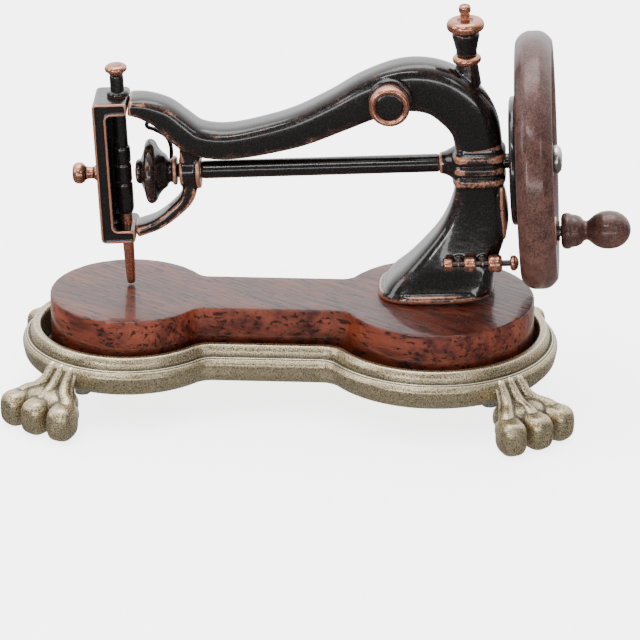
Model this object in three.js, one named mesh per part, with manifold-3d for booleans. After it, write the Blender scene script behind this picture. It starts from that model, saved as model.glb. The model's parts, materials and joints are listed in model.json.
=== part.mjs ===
// A miniature hand-crank sewing machine: a leaning cast arm on a fiddle-shaped wooden block,
// which stands in a brass tray on four lion-claw feet. Millimetres, +Z up, needle end at -X.
import * as THREE from "three";
import { mergeVertices } from "three/addons/utils/BufferGeometryUtils.js";
import Module from "manifold-3d";

const wasm = await Module();
wasm.setup();

// ---------- Driving dimensions ----------
const LEAN = THREE.MathUtils.degToRad(3); // the castings lean towards the needle end
const SEAT = 0.05; // gap between pieces that are fixed to each other
const RUN = 0.06; // radial clearance of a turning or sliding piece
const END_PLAY = 0.15; // endwise clearance of a turning piece
const FINE = 24; // facets round a large turned piece
const SMALL = 14; // facets round a small turned piece
const REACH = 60; // size of a cutting block that passes right through

// Fiddle outline of the wooden block: two round lobes joined by a straight waist.
const lobes = {
  left: { centre: -20.9, radius: 10.4 },
  right: { centre: 19, radius: 12.6 },
};
const WAIST = 5.3; // half width
const wood = { thickness: 8, fillet: 2.2, edge: 0.35, shift: 0.3 };

// Cast tray round the block. Offsets are measured outwards from the block's outline, heights
// upwards from the tray's underside.
const tray = {
  underside: 4.2, // above the ground
  floor: 1.2,
  inner: 0.8,
  bead: 1.5,
  beadHeight: 5.1,
  groove: 0.45,
  outer: 3.4,
  shoulderHeight: 3.5,
  fillet: 4.2,
};
const WOOD_BOTTOM = tray.underside + tray.floor + SEAT;
const WOOD_TOP = WOOD_BOTTOM + wood.thickness;

// Lion-claw feet, one on each side of each lobe.
const foot = {
  reach: { left: 4.4, right: 5.0 }, // from the tray's wall to the middle toe's centre
  toeLength: 4.7,
  toeWidth: 3.6,
  toeHeight: 4.6,
  spread: 3.75, // between toes
  fan: THREE.MathUtils.degToRad(15),
  sink: 0.3, // how much the worn soles are flattened
  tendon: 0.72, // radius
  tendonBelow: 0.8, // under the tray's shoulder
  tongue: { length: 7, width: 4.2, thickness: 1.2 },
};

// The leaning head stands over this point of the block's top. From here on, heights are measured
// from the block's top and lengths from this point, in the leaning frame.
const head = { x: 19.5, y: 2 };

const wheel = {
  radius: 16.6,
  width: 4.75,
  rim: 3.1,
  web: 1.6,
  webOffset: 0.4, // towards the crank's side
  hubRadius: 6.5,
  hubProud: 0.45,
  slots: 16,
  slotNarrow: 0.75, // end radii of a slot
  slotWide: 1.25,
  slotMargin: 1.0, // between a slot and the hub or the rim
  clearance: 1.3, // over the block
};
const hubPlate = { radius: 8.3, thickness: 1.0, gap: 0.7 };
const INNER_RIM = wheel.radius - wheel.rim;
const SHAFT_Z = wheel.radius + wheel.clearance;

const shaft = {
  seat: 1.5, // diameter in the drive disc
  journal: 2.0,
  front: 2.4,
  rear: 2.0,
  inset: 1.475, // how far its end stays inside the wheel's hub
};
const BUSH_WALL = 0.5;
const REAR_BUSH = shaft.rear / 2 + RUN + BUSH_WALL;
const FRONT_BUSH = shaft.journal / 2 + RUN + BUSH_WALL;

// Column: a flared foot, three rings near the top and a boss for the shaft's rear bearing.
const flange = { halfLength: 7.6, halfWidth: 5.6, edge: 1.3 };
const COLUMN_X = 6;
const COLUMN_TOP = SHAFT_Z + REAR_BUSH + 1.14;
const collarRings = { count: 3, low: SHAFT_Z - 2.7, high: SHAFT_Z + 2.0, proud: 0.42 };
const boss = { left: 0.8, cone: 2.3, right: 9.2, radius: 3.9 };

// Needle bar, its sleeve and its guides in the face frame.
const bar = { radius: 0.92, proud: 2.9, sleeveWall: 0.18, sleeveBead: 0.05, sleeveLift: 3.05, stroke: 5 };
const SLEEVE = bar.radius + bar.sleeveWall + bar.sleeveBead;
const guide = { wall: 0.22, flange: 0.28, flangeHeight: 0.7 };
const needle = { radius: 0.66, tipRadius: 0.82, lift: 0.2 };
const UPPER_GUIDE = bar.radius + RUN + guide.wall;
const LOWER_GUIDE = needle.radius + RUN + guide.wall;

// Face frame: an open C at the needle end, its legs held on the arm's two branches.
const faceLeft = -43.2;
const faceWall = 1.75;
const NEEDLE_X = faceLeft + faceWall + SLEEVE + 0.25;
const frame = {
  left: faceLeft,
  right: NEEDLE_X + UPPER_GUIDE + 0.15,
  bottom: SHAFT_Z - 8.75,
  top: SHAFT_Z + 10.6,
  wall: faceWall,
  leg: 1.75,
  depth: 6.5,
  corner: 1.1,
};
const SLEEVE_TOP = frame.top - frame.leg - bar.stroke - END_PLAY;
const BAR_TOP = frame.top + bar.proud;

// Shaft collar under the arm, the disc at the shaft's left end, and the crank.
const collar = { left: -32.7, right: -29.9, wall: 0.49, ring: 0.7 };
const SHAFT_LEFT = NEEDLE_X + SLEEVE + 0.4;
const disc = { offset: 2.1, radius: 4.2, rim: 0.9, leftHub: 2.1, rightHub: 1.55, gap: 0.3 };
const screw = { shank: 0.45, head: 1.85, headHeight: 1.1, length: 4.2 };
const crank = { inset: 3.5, pin: 0.7, shoulder: 1.3, collar: 2.35, egg: 2.5 };
const CRANK_RADIUS = INNER_RIM - crank.inset;

// Tension post on the arm, side knob at the arm's front and bobbin winder low on the column.
const post = {
  x: 4.9,
  stud: 0.8,
  lug: 1.3,
  flange: 1.85,
  flangeHeight: 1.15,
  barrelLow: 1.75,
  barrelHigh: 1.3,
  barrelHeight: 3.2,
  nut: 2.4,
  nutHeight: 1.45,
  proud: 2.05,
};
const LUG_TOP = SHAFT_Z + 13.5;
const knob = { x: -4.95, z: SHAFT_Z + 10.1, radius: 2.65, length: 2.35, ring: 2.85, ringLength: 0.65 };
const winder = { y: -4.9, z: 5.7, rod: 0.42, left: 0.7, lugs: [2.9, 6.0], lug: 0.9 };

// ---------- Finishes ----------
function finish(color, roughness, metalness) {
  return new THREE.MeshStandardMaterial({ color, roughness, metalness });
}
const BLACKENED = finish(0x2b211d, 0.3, 0.9);
const COPPER = finish(0x9a5f4a, 0.35, 0.9);
const MOTTLED = finish(0x4c3029, 0.4, 0.7);
const BRASS = finish(0x8d7f66, 0.55, 0.8);
const WOOD = finish(0x73261a, 0.25, 0);
const NICKEL = finish(0xb9b4a8, 0.3, 1);

// ---------- Solids ----------
// A closed three.js geometry as a solid, with its faces turned outwards.
function solidOf(geometry) {
  const bare = geometry.clone();
  bare.deleteAttribute("normal");
  bare.deleteAttribute("uv");
  const merged = mergeVertices(bare, 1e-4);
  const at = merged.attributes.position;
  const corners = [...merged.index.array];
  const [a, b, c] = [new THREE.Vector3(), new THREE.Vector3(), new THREE.Vector3()];
  let volume = 0;
  const triangles = [];
  for (let i = 0; i < corners.length; i += 3) {
    const [p, q, r] = corners.slice(i, i + 3);
    if (p === q || q === r || r === p) continue;
    a.fromBufferAttribute(at, p);
    b.fromBufferAttribute(at, q);
    c.fromBufferAttribute(at, r);
    volume += a.dot(b.cross(c));
    triangles.push([p, q, r]);
  }
  const outward = volume > 0 ? triangles : triangles.map(([p, q, r]) => [p, r, q]);
  const triVerts = Uint32Array.from(outward.flat());
  return new wasm.Manifold(
    new wasm.Mesh({ numProp: 3, vertProperties: at.array, triVerts }),
  );
}

function geometryOf(solid) {
  const mesh = solid.getMesh();
  const geometry = new THREE.BufferGeometry();
  geometry.setAttribute("position", new THREE.BufferAttribute(mesh.vertProperties, 3));
  geometry.setIndex(new THREE.BufferAttribute(mesh.triVerts, 1));
  return geometry;
}

function join(first, ...others) {
  return geometryOf(others.reduce((sum, next) => sum.add(solidOf(next)), solidOf(first)));
}

function cut(first, ...tools) {
  return geometryOf(tools.reduce((rest, tool) => rest.subtract(solidOf(tool)), solidOf(first)));
}

function moved(geometry, x = 0, y = 0, z = 0) {
  return geometry.translate(x, y, z);
}

// A turned piece: [radius, height] pairs from the bottom up, round the Z axis.
function turned(profile, facets = FINE) {
  const points = profile.map(([r, z]) => new THREE.Vector2(r, z));
  return new THREE.LatheGeometry(points, facets).rotateX(Math.PI / 2);
}

// The same round the X axis, its heights along +X, or along +Y or -Y.
function turnedX(profile, facets) {
  return turned(profile, facets).rotateY(Math.PI / 2);
}
function turnedFront(profile, facets) {
  return turned(profile, facets).rotateX(Math.PI / 2);
}

function rod(radius, from, to, facets = SMALL) {
  return turned([[0, from], [radius, from], [radius, to], [0, to]], facets);
}
function rodX(radius, from, to, facets = SMALL) {
  return rod(radius, from, to, facets).rotateY(Math.PI / 2);
}
// Towards the front, which is -Y: from and to are distances in front of the x-z plane.
function rodFront(radius, from, to, facets = SMALL) {
  return rod(radius, from, to, facets).rotateX(Math.PI / 2);
}
function tube(outer, inner, from, to, facets = SMALL) {
  return turned([[inner, from], [outer, from], [outer, to], [inner, to], [inner, from]], facets);
}
function tubeX(outer, inner, from, to, facets) {
  return tube(outer, inner, from, to, facets).rotateY(Math.PI / 2);
}

// Quarter-round corner points of a turned profile, from angle a to b about (r, z).
function arc(r, z, radius, a, b, steps = 4) {
  const step = (b - a) / steps;
  return Array.from({ length: steps + 1 }, (_, i) => {
    const angle = THREE.MathUtils.degToRad(a + i * step);
    return [r + radius * Math.cos(angle), z + radius * Math.sin(angle)];
  });
}

// A flat slab drawn in the x-z plane and centred on it.
function slab(shape, depth, curveSegments = 8) {
  const geometry = new THREE.ExtrudeGeometry(shape, { depth, bevelEnabled: false, curveSegments });
  return geometry.rotateX(Math.PI / 2).translate(0, depth / 2, 0);
}

// A body that runs through stations in the x-z plane. Each has its centre, its half thickness in
// the plane, its half depth across it, and the squareness of its section (2 is an ellipse).
function loft(stations, { steps, facets, upright = false, proud = () => 0 }) {
  const centres = stations.map(({ x, z }) => new THREE.Vector3(x, 0, z));
  const sizes = stations.map((s) => new THREE.Vector3(s.thick, s.deep, s.square ?? 2.6));
  const path = new THREE.CatmullRomCurve3(centres, false, "catmullrom");
  const size = new THREE.CatmullRomCurve3(sizes, false, "catmullrom");
  const geometry = new THREE.CylinderGeometry(1, 1, 1, facets, steps);
  const at = geometry.attributes.position;
  for (let i = 0; i < at.count; i++) {
    const t = THREE.MathUtils.clamp(at.getY(i) + 0.5, 0, 1);
    const angle = Math.atan2(at.getZ(i), at.getX(i));
    const share = Math.min(1, Math.hypot(at.getX(i), at.getZ(i)));
    const centre = path.getPoint(t);
    const along = upright ? new THREE.Vector3(0, 0, 1) : path.getTangent(t);
    const half = size.getPoint(t);
    const round = (v) => Math.sign(v) * Math.abs(v) ** (2 / half.z);
    const thick = (half.x + proud(centre.z)) * share * round(Math.cos(angle));
    const deep = (half.y + proud(centre.z)) * share * round(Math.sin(angle));
    at.setXYZ(i, centre.x - along.z * thick, deep, centre.z + along.x * thick);
  }
  return geometry;
}

// Points of an arc about (x, y), both ends included.
function arcPoints(x, y, radius, from, to, steps) {
  return Array.from({ length: steps + 1 }, (_, i) => {
    const angle = from + ((to - from) * i) / steps;
    return [x + radius * Math.cos(angle), y + radius * Math.sin(angle)];
  });
}

// The fiddle outline: on each side a lobe's arc and the fillet that leads into the waist, twice.
// Every outline has the same number of points, so outlines of any offset match up.
const LOBE_STEPS = 11;
const FILLET_STEPS = 3;
function fiddle(offset, fillet) {
  const half = WAIST + offset;
  const side = [];
  for (const [lobe, way] of [[lobes.right, 1], [lobes.left, -1]]) {
    const radius = lobe.radius + offset;
    const across = Math.sqrt((radius + fillet) ** 2 - (half + fillet) ** 2);
    const middle = lobe.centre - way * across;
    const turn = Math.atan2(half + fillet, way * -across);
    const start = way > 0 ? 0 : Math.PI;
    const lobeArc = arcPoints(lobe.centre, 0, radius, start, turn, LOBE_STEPS);
    const from = turn + (way > 0 ? Math.PI : -Math.PI);
    const to = way > 0 ? (3 * Math.PI) / 2 : -Math.PI / 2;
    const filletArc = arcPoints(middle, half + fillet, fillet, from, to, FILLET_STEPS).slice(1);
    const run = [...lobeArc, ...filletArc];
    side.push(way > 0 ? run : run.reverse());
  }
  const upper = side.flat();
  const lower = upper.slice(1, -1).reverse().map(([x, y]) => [x, -y]);
  return [...upper, ...lower];
}

function fiddlePlate(offset, fillet, from, to) {
  const shape = new THREE.Shape(fiddle(offset, fillet).map(([x, y]) => new THREE.Vector2(x, y)));
  const depth = to - from;
  return new THREE.ExtrudeGeometry(shape, { depth, bevelEnabled: false }).translate(0, 0, from);
}

// A moulding that follows the fiddle outline: a closed profile of [offset, height] pairs.
function fiddleMoulding(profile, fillet) {
  const rings = profile.map(([offset]) => fiddle(offset, fillet - offset * 0.5));
  const count = rings[0].length;
  const points = profile.map(([offset, z]) => new THREE.Vector2(offset + 10, z));
  const geometry = new THREE.LatheGeometry([...points, points[0]], count);
  const at = geometry.attributes.position;
  const rows = profile.length + 1;
  for (let i = 0; i < at.count; i++) {
    const level = (i % rows) % profile.length;
    const [x, y] = rings[level][Math.floor(i / rows) % count];
    at.setXYZ(i, x, y, profile[level][1]);
  }
  return geometry;
}

const machine = new THREE.Group();
const leaning = new THREE.Group();
leaning.position.set(head.x, head.y, WOOD_TOP);
leaning.rotation.y = -LEAN;
machine.add(leaning);
leaning.updateMatrix();

function add(name, geometry, material, parent = machine, [x, y, z] = [0, 0, 0]) {
  const mesh = new THREE.Mesh(geometry, material);
  mesh.name = name;
  mesh.position.set(x, y, z);
  parent.add(mesh);
  return mesh;
}

// ---------- Fasteners that come up from below ----------
// A countersunk screw on the Z axis: its head's face is at z = 0 and its shank points up.
function woodScrew(length, shank = 0.7, top = 1.5) {
  const cone = top - shank;
  return turned(
    [[0, 0], [top, 0], [top, 0.25], [shank, 0.25 + cone], [shank, length - 0.6], [0, length]],
    SMALL,
  );
}
function screwHole(length, shank = 0.7, top = 1.5) {
  const cone = top - shank;
  const g = SEAT;
  return turned(
    [[0, -1], [top + g, -1], [top + g, 0.25 + g], [shank + g, 0.25 + cone + g],
      [shank + g, length + 0.2], [0, length + 0.2]],
    SMALL,
  );
}
const SCREW_Z = tray.underside + 0.1;
const bite = { block: 5.8, column: 3.05 };
const intoBlock = WOOD_BOTTOM + bite.block - SCREW_Z;
const intoColumn = WOOD_TOP + bite.column - SCREW_Z;
const baseScrews = [
  { name: "base_screw_left", x: lobes.left.centre, y: 0, length: intoBlock },
  { name: "base_screw_waist", x: 3, y: 0, length: intoBlock },
  { name: "column_screw_left", x: head.x - 3.6, y: head.y, length: intoColumn },
  { name: "column_screw_right", x: head.x + 3.6, y: head.y, length: intoColumn },
];
const screwHoles = () => baseScrews.map((s) => moved(screwHole(s.length), s.x, s.y, SCREW_Z));
for (const s of baseScrews) add(s.name, woodScrew(s.length), NICKEL, machine, [s.x, s.y, SCREW_Z]);

// ---------- Tray ----------
const SHOULDER = tray.underside + tray.shoulderHeight;
function trayProfile() {
  const { underside, inner, bead, beadHeight, groove, outer } = tray;
  const half = bead / 2;
  const beadTop = underside + beadHeight;
  return [
    [inner, underside],
    [inner, beadTop - half],
    ...arc(inner + half, beadTop - half, half, 150, 30, 3),
    [inner + bead, SHOULDER + 0.35],
    [inner + bead + groove, SHOULDER],
    [outer - 0.45, SHOULDER + 0.15],
    [outer, SHOULDER - 0.25],
    [outer, underside + 1.6],
    [outer - 0.35, underside + 0.6],
    [outer - 1.3, underside],
  ];
}
const footDirections = [
  { name: "front_left", lobe: lobes.left, reach: foot.reach.left, degrees: 235 },
  { name: "front_right", lobe: lobes.right, reach: foot.reach.right, degrees: -50 },
  { name: "rear_left", lobe: lobes.left, reach: foot.reach.left, degrees: 122 },
  { name: "rear_right", lobe: lobes.right, reach: foot.reach.right, degrees: 65 },
].map((side) => ({ ...side, angle: THREE.MathUtils.degToRad(side.degrees) }));
const footScrew = { inset: 4.4, shank: 0.5, head: 1.0, headHeight: 0.6 };
const footScrewRadius = (lobe) => lobe.radius + tray.outer - footScrew.inset;
const aroundLobe = (lobe, angle, radius) => [
  lobe.centre + radius * Math.cos(angle),
  radius * Math.sin(angle),
];

const trayPlate = fiddlePlate(tray.inner + 0.5, tray.fillet, tray.underside, tray.underside + tray.floor);
const trayBlank = join(fiddleMoulding(trayProfile(), tray.fillet), trayPlate);
const footScrewHoles = footDirections.map(({ lobe, angle }) => {
  const [x, y] = aroundLobe(lobe, angle, footScrewRadius(lobe));
  return moved(rod(footScrew.shank + SEAT, tray.underside - 1, WOOD_BOTTOM + 1, SMALL), x, y, 0);
});
add("base_tray", cut(trayBlank, ...screwHoles(), ...footScrewHoles), BRASS);

// ---------- Claw feet ----------
// An ellipsoid with its middle at a point.
function egg(x, y, z, length, width, height, facets = 10) {
  return new THREE.SphereGeometry(0.5, facets, 6).rotateX(Math.PI / 2)
    .scale(length, width, height).translate(x, y, z);
}
// A straight round bar with ball ends between two points.
function strut(from, to, radius, facets = 6) {
  const a = new THREE.Vector3(...from);
  const b = new THREE.Vector3(...to);
  const span = b.distanceTo(a);
  const capsule = turned([...arc(0, 0, radius, -90, 0, 1), ...arc(0, span, radius, 0, 90, 1)], facets);
  const turn = new THREE.Quaternion().setFromUnitVectors(
    new THREE.Vector3(0, 0, 1),
    b.clone().sub(a).normalize(),
  );
  return capsule.applyQuaternion(turn).translate(a.x, a.y, a.z);
}
// A foot pointing along +X from its lobe's centre, with its three toes fanned out.
function clawFoot(wall, reach) {
  const toeX = wall + reach;
  const z = foot.toeHeight / 2 - foot.sink;
  const pieces = [];
  for (const k of [-1, 0, 1]) {
    const turn = k * foot.fan;
    const x = toeX - Math.abs(k) * 0.4;
    const toe = egg(0, 0, z, foot.toeLength, foot.toeWidth, foot.toeHeight).rotateZ(turn);
    pieces.push(toe.translate(x, k * foot.spread, 0));
    const knuckle = [x - 1.5, k * foot.spread * 0.8, z + 0.9];
    pieces.push(strut([wall - 0.8, k * 1.7, SHOULDER - foot.tendonBelow], knuckle, foot.tendon));
  }
  pieces.push(egg(wall + 1.4, 0, 3.3, 6.2, 8.0, 3.6, 10));
  const { length, width, thickness } = foot.tongue;
  const tongue = new THREE.BoxGeometry(length, width, thickness);
  pieces.push(tongue.translate(wall + 1 - length / 2, 0, tray.underside - SEAT - thickness / 2));
  const whole = join(...pieces);
  const floor = new THREE.BoxGeometry(REACH, REACH, REACH).translate(0, 0, -REACH / 2);
  const hole = rod(footScrew.shank + SEAT, -1, 8).translate(wall - footScrew.inset, 0, 0);
  return cut(whole, floor, hole);
}
// The space that the tray's round end takes up, with the seat gap round it.
function trayEnd(wall) {
  const { underside } = tray;
  const clear = wall + SEAT;
  return turned(
    [[0, underside - SEAT], [clear - 1.3, underside - SEAT], [clear - 0.35, underside + 0.6],
      [clear, underside + 1.6], [clear, WOOD_TOP], [0, WOOD_TOP]],
    2 * FINE,
  );
}
for (const { name, lobe, reach, angle } of footDirections) {
  const wall = lobe.radius + tray.outer;
  const placed = cut(clawFoot(wall, reach), trayEnd(wall)).rotateZ(angle);
  add("claw_foot_" + name, placed.translate(lobe.centre, 0, 0), BRASS);
  const [x, y] = aroundLobe(lobe, angle, footScrewRadius(lobe));
  const { shank, headHeight } = footScrew;
  const under = tray.underside - SEAT - foot.tongue.thickness;
  const bottom = under - SEAT - headHeight;
  const profile = [[0, bottom], [footScrew.head, bottom], [footScrew.head, bottom + headHeight],
    [shank, bottom + headHeight], [shank, WOOD_BOTTOM - 0.2], [0, WOOD_BOTTOM - 0.2]];
  add("foot_screw_" + name, turned(profile, SMALL), NICKEL, machine, [x, y, 0]);
}

// ---------- Wooden block ----------
const woodBody = join(
  fiddlePlate(-wood.edge, wood.fillet + wood.edge, WOOD_BOTTOM, WOOD_TOP),
  fiddlePlate(0, wood.fillet, WOOD_BOTTOM, WOOD_TOP - wood.edge),
);
add("wood_block", cut(woodBody.translate(wood.shift, 0, 0), ...screwHoles()), WOOD);

// ---------- Column ----------
// Everything from here on stands in the leaning frame: its origin is on the block's top.
const inHead = leaning.matrix.clone().invert();
const ringRise = (z) => {
  const share = (z - collarRings.low) / (collarRings.high - collarRings.low);
  if (share < 0 || share > 1) return 0;
  return collarRings.proud * Math.abs(Math.sin(share * Math.PI * collarRings.count));
};
const neck = { thick: 3.0, deep: 2.7 }; // the section where the arm stands on the column
const columnStations = [
  { x: -0.3, z: -1.2, thick: flange.halfLength, deep: flange.halfWidth },
  { x: -0.3, z: flange.edge, thick: flange.halfLength - 0.1, deep: flange.halfWidth - 0.1 },
  { x: 0.5, z: 0.13 * COLUMN_TOP, thick: 6.8, deep: 4.7 },
  { x: 1.9, z: 0.23 * COLUMN_TOP, thick: 5.9, deep: 3.9 },
  { x: 3.4, z: 0.34 * COLUMN_TOP, thick: 5.2, deep: 3.4 },
  { x: 4.9, z: 0.47 * COLUMN_TOP, thick: 4.5, deep: 3.05 },
  { x: 5.6, z: 0.6 * COLUMN_TOP, thick: 3.8, deep: 2.85 },
  { x: 5.8, z: 0.73 * COLUMN_TOP, thick: 3.15, deep: 2.75 },
  { x: 5.9, z: 0.86 * COLUMN_TOP, ...neck },
  { x: COLUMN_X, z: COLUMN_TOP, ...neck },
];
const columnBody = loft(columnStations, { steps: 26, facets: 20, upright: true, proud: ringRise });
const rearBoss = turnedX(
  [[0, 5], [boss.radius, 5], ...arc(boss.radius - 0.4, boss.right - 0.4, 0.4, 0, 90, 3), [0, boss.right]],
);
const bushLeft = boss.left + boss.cone;
const coneBase = REAR_BUSH + 0.4;
const frontBoss = turnedX([
  [0, boss.left],
  [shaft.rear / 2 + 0.35, boss.left],
  [coneBase, bushLeft],
  [coneBase, 5],
  [0, 5],
]);
const bushBore = join(
  rodX(REAR_BUSH + SEAT, bushLeft - SEAT, boss.right + 1),
  rodX(shaft.rear / 2 + 2 * RUN, boss.left - 1, boss.right),
);
const footPlane = new THREE.BoxGeometry(REACH, REACH, REACH).translate(0, 0, SEAT - REACH / 2)
  .translate(head.x, head.y, WOOD_TOP).applyMatrix4(inHead);
const spigot = { radius: 1.5, depth: 1.0 };
const winderLug = (x) => join(
  rodX(winder.rod + 0.55, x - winder.lug / 2, x + winder.lug / 2).translate(0, winder.y, winder.z),
  new THREE.BoxGeometry(winder.lug, 4, 1.6).translate(x, winder.y + 2, winder.z),
);
const columnWhole = join(
  columnBody,
  moved(rearBoss, 0, 0, SHAFT_Z),
  moved(frontBoss, 0, 0, SHAFT_Z),
  ...winder.lugs.map(winderLug),
);
const lockScrew = { z: COLUMN_TOP - 0.5, shank: 0.35, head: 0.7, from: 0.6, seat: 2.75, height: 0.5 };
const lockScrewHole = () => rod(lockScrew.shank + SEAT, lockScrew.from - SEAT, 6)
  .rotateX(-Math.PI / 2).translate(COLUMN_X, 0, lockScrew.z);
add(
  "column_casting",
  cut(
    columnWhole,
    moved(bushBore, 0, 0, SHAFT_Z),
    footPlane,
    rod(spigot.radius + SEAT, COLUMN_TOP - spigot.depth - SEAT, COLUMN_TOP + 1).translate(COLUMN_X, 0, 0),
    rodX(winder.rod + RUN, -2, 12).translate(0, winder.y, winder.z),
    lockScrewHole(),
    rod(lockScrew.head + SEAT, lockScrew.seat - SEAT, 6).rotateX(-Math.PI / 2)
      .translate(COLUMN_X, 0, lockScrew.z),
    ...baseScrews.map((s) => moved(screwHole(s.length), s.x, s.y, SCREW_Z).applyMatrix4(inHead)),
  ),
  BLACKENED,
  leaning,
);
add(
  "arm_lock_screw",
  turned(
    [
      [0, lockScrew.from],
      [lockScrew.shank, lockScrew.from],
      [lockScrew.shank, lockScrew.seat],
      [lockScrew.head, lockScrew.seat],
      [lockScrew.head, lockScrew.seat + lockScrew.height],
      [0, lockScrew.seat + lockScrew.height],
    ],
    SMALL,
  ).rotateX(-Math.PI / 2),
  NICKEL,
  leaning,
  [COLUMN_X, 0, lockScrew.z],
);
add(
  "rear_bushing",
  tubeX(REAR_BUSH, shaft.rear / 2 + RUN, bushLeft, boss.right),
  BRASS,
  leaning,
  [0, 0, SHAFT_Z],
);

// ---------- Arm ----------
const armStations = [
  { x: frame.right - 0.6, up: 9.5, thick: 1.15, deep: 2.5 },
  { x: -36.6, up: 9.1, thick: 1.5, deep: 2.5 },
  { x: -34.3, up: 8.0, thick: 1.85, deep: 2.5 },
  { x: -32.5, up: 6.3, thick: 2.05, deep: 2.55 },
  { x: -30.6, up: 4.7, thick: 2.1, deep: 2.6 },
  { x: -28.2, up: 4.0, thick: 2.1, deep: 2.6 },
  { x: -25.3, up: 3.95, thick: 2.12, deep: 2.6 },
  { x: -21.7, up: 4.5, thick: 2.2, deep: 2.6 },
  { x: -16.8, up: 5.7, thick: 2.35, deep: 2.65 },
  { x: -11.7, up: 7.8, thick: 2.6, deep: 2.7 },
  { x: -7.3, up: 9.8, thick: 3.0, deep: 2.75 },
  { x: -2.7, up: 10.95, thick: 3.3, deep: 2.8 },
  { x: 1.2, up: 10.25, thick: 3.4, deep: 2.8 },
  { x: 4.0, up: 7.9, thick: 3.35, deep: 2.75 },
  { x: 5.5, up: 5.3, thick: 3.15, deep: 2.7 },
  { x: COLUMN_X, up: COLUMN_TOP - SHAFT_Z - 0.6, ...neck },
].map((station) => ({ ...station, z: SHAFT_Z + station.up }));
const columnSide = new THREE.BoxGeometry(14, 12, 10).translate(COLUMN_X, 0, COLUMN_TOP + SEAT - 5);
const armBody = cut(loft(armStations, { steps: 26, facets: 16 }), columnSide);
const collarRadius = FRONT_BUSH + collar.wall;
const collarBody = turnedX([
  [0, collar.left],
  [collarRadius, collar.left],
  [collarRadius, collar.right - collar.ring],
  ...arc(collarRadius, collar.right - collar.ring / 2, collar.ring / 2, -90, 90, 4),
  [0, collar.right],
]);
const harp = loft(
  [
    { x: -31.3, z: SHAFT_Z - 1.3, thick: 1.0, deep: 1.6 },
    { x: -31.9, z: SHAFT_Z - 3.5, thick: 0.95, deep: 1.6 },
    { x: -33.6, z: SHAFT_Z - 5.3, thick: 0.9, deep: 1.7 },
    { x: -35.9, z: SHAFT_Z - 6.9, thick: 0.85, deep: 1.9 },
    { x: frame.right - 0.6, z: frame.bottom + frame.leg / 2, thick: 0.8, deep: 2.3 },
  ],
  { steps: 9, facets: 12 },
);
const collarNeck = new THREE.BoxGeometry(collar.right - collar.left - 0.8, 3.4, 5);
const armFace = 3.0; // how far the side knob's seat stands in front of the arm's middle plane
const armWhole = join(
  armBody,
  moved(collarBody, 0, 0, SHAFT_Z),
  harp,
  collarNeck.translate((collar.left + collar.right) / 2, 0, SHAFT_Z + 3),
  rod(post.lug, LUG_TOP - 3.4, LUG_TOP).translate(post.x, 0, 0),
  rodFront(knob.ring - 0.35, -1, armFace).translate(knob.x, 0, knob.z),
  rod(spigot.radius, COLUMN_TOP - spigot.depth, COLUMN_TOP + 1).translate(COLUMN_X, 0, 0),
);
const frameSide = new THREE.BoxGeometry(REACH, REACH, 2 * REACH)
  .translate(frame.right + SEAT - REACH / 2, 0, 0);
const faceScrews = [
  { name: "face_screw_upper", z: frame.top - frame.leg / 2 - 0.15 },
  { name: "face_screw_lower", z: frame.bottom + frame.leg / 2 },
];
const faceScrew = { y: 1.95, length: 6.2, shank: 0.36, head: 0.62 };
const faceScrewHoles = () => faceScrews.map(({ z }) =>
  screwHole(faceScrew.length, faceScrew.shank, faceScrew.head).rotateY(Math.PI / 2)
    .translate(frame.left + 0.1, faceScrew.y, z));
const studBore = () => rod(post.stud + SEAT, LUG_TOP - 3 - SEAT, LUG_TOP + 10)
  .translate(post.x, 0, 0);
const stem = { radius: 0.7, from: 0.8, to: 5.2 };
const stemBore = () => rodFront(stem.radius + SEAT, stem.from - SEAT, 8).translate(knob.x, 0, knob.z);
add(
  "arm_casting",
  cut(
    armWhole,
    frameSide,
    rodX(boss.radius + SEAT, 4.8, boss.right + 4, FINE).translate(0, 0, SHAFT_Z),
    rod(UPPER_GUIDE + guide.flange + SEAT, frame.top - 1, frame.top + 4).translate(NEEDLE_X, 0, 0),
    lockScrewHole(),
    rodX(FRONT_BUSH + SEAT, collar.left - 1, collar.right + 1).translate(0, 0, SHAFT_Z),
    studBore(),
    stemBore(),
    ...faceScrewHoles(),
  ),
  BLACKENED,
  leaning,
);
add(
  "front_bushing",
  tubeX(FRONT_BUSH, shaft.journal / 2 + RUN, collar.left, collar.right),
  BRASS,
  leaning,
  [0, 0, SHAFT_Z],
);

// ---------- Face frame ----------
function faceOutline() {
  const { left, right, bottom, top, wall, leg, corner } = frame;
  const inner = 0.8;
  const nose = 0.5;
  const s = new THREE.Shape();
  s.moveTo(left + corner, bottom);
  s.lineTo(right - nose, bottom);
  s.quadraticCurveTo(right, bottom, right, bottom + nose);
  s.lineTo(right, bottom + leg);
  s.lineTo(left + wall + inner, bottom + leg);
  s.quadraticCurveTo(left + wall, bottom + leg, left + wall, bottom + leg + inner);
  s.lineTo(left + wall, top - leg - inner);
  s.quadraticCurveTo(left + wall, top - leg, left + wall + inner, top - leg);
  s.lineTo(right, top - leg);
  s.lineTo(right, top - nose);
  s.quadraticCurveTo(right, top, right - nose, top);
  s.lineTo(left + corner, top);
  s.quadraticCurveTo(left, top, left, top - corner);
  s.lineTo(left, bottom + corner);
  s.quadraticCurveTo(left, bottom, left + corner, bottom);
  return s;
}
const pressure = { neck: 0.55, tip: 0.1 };
add(
  "face_frame",
  cut(
    slab(faceOutline(), frame.depth),
    rod(UPPER_GUIDE + SEAT, frame.top - frame.leg - 1, frame.top + 1).translate(NEEDLE_X, 0, 0),
    rod(LOWER_GUIDE + SEAT, frame.bottom - 1, frame.bottom + frame.leg + 1).translate(NEEDLE_X, 0, 0),
    rodX(pressure.neck + RUN, frame.left - 1, frame.left + frame.wall + 1).translate(0, 0, SHAFT_Z),
    ...faceScrewHoles(),
  ),
  BLACKENED,
  leaning,
);
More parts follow.
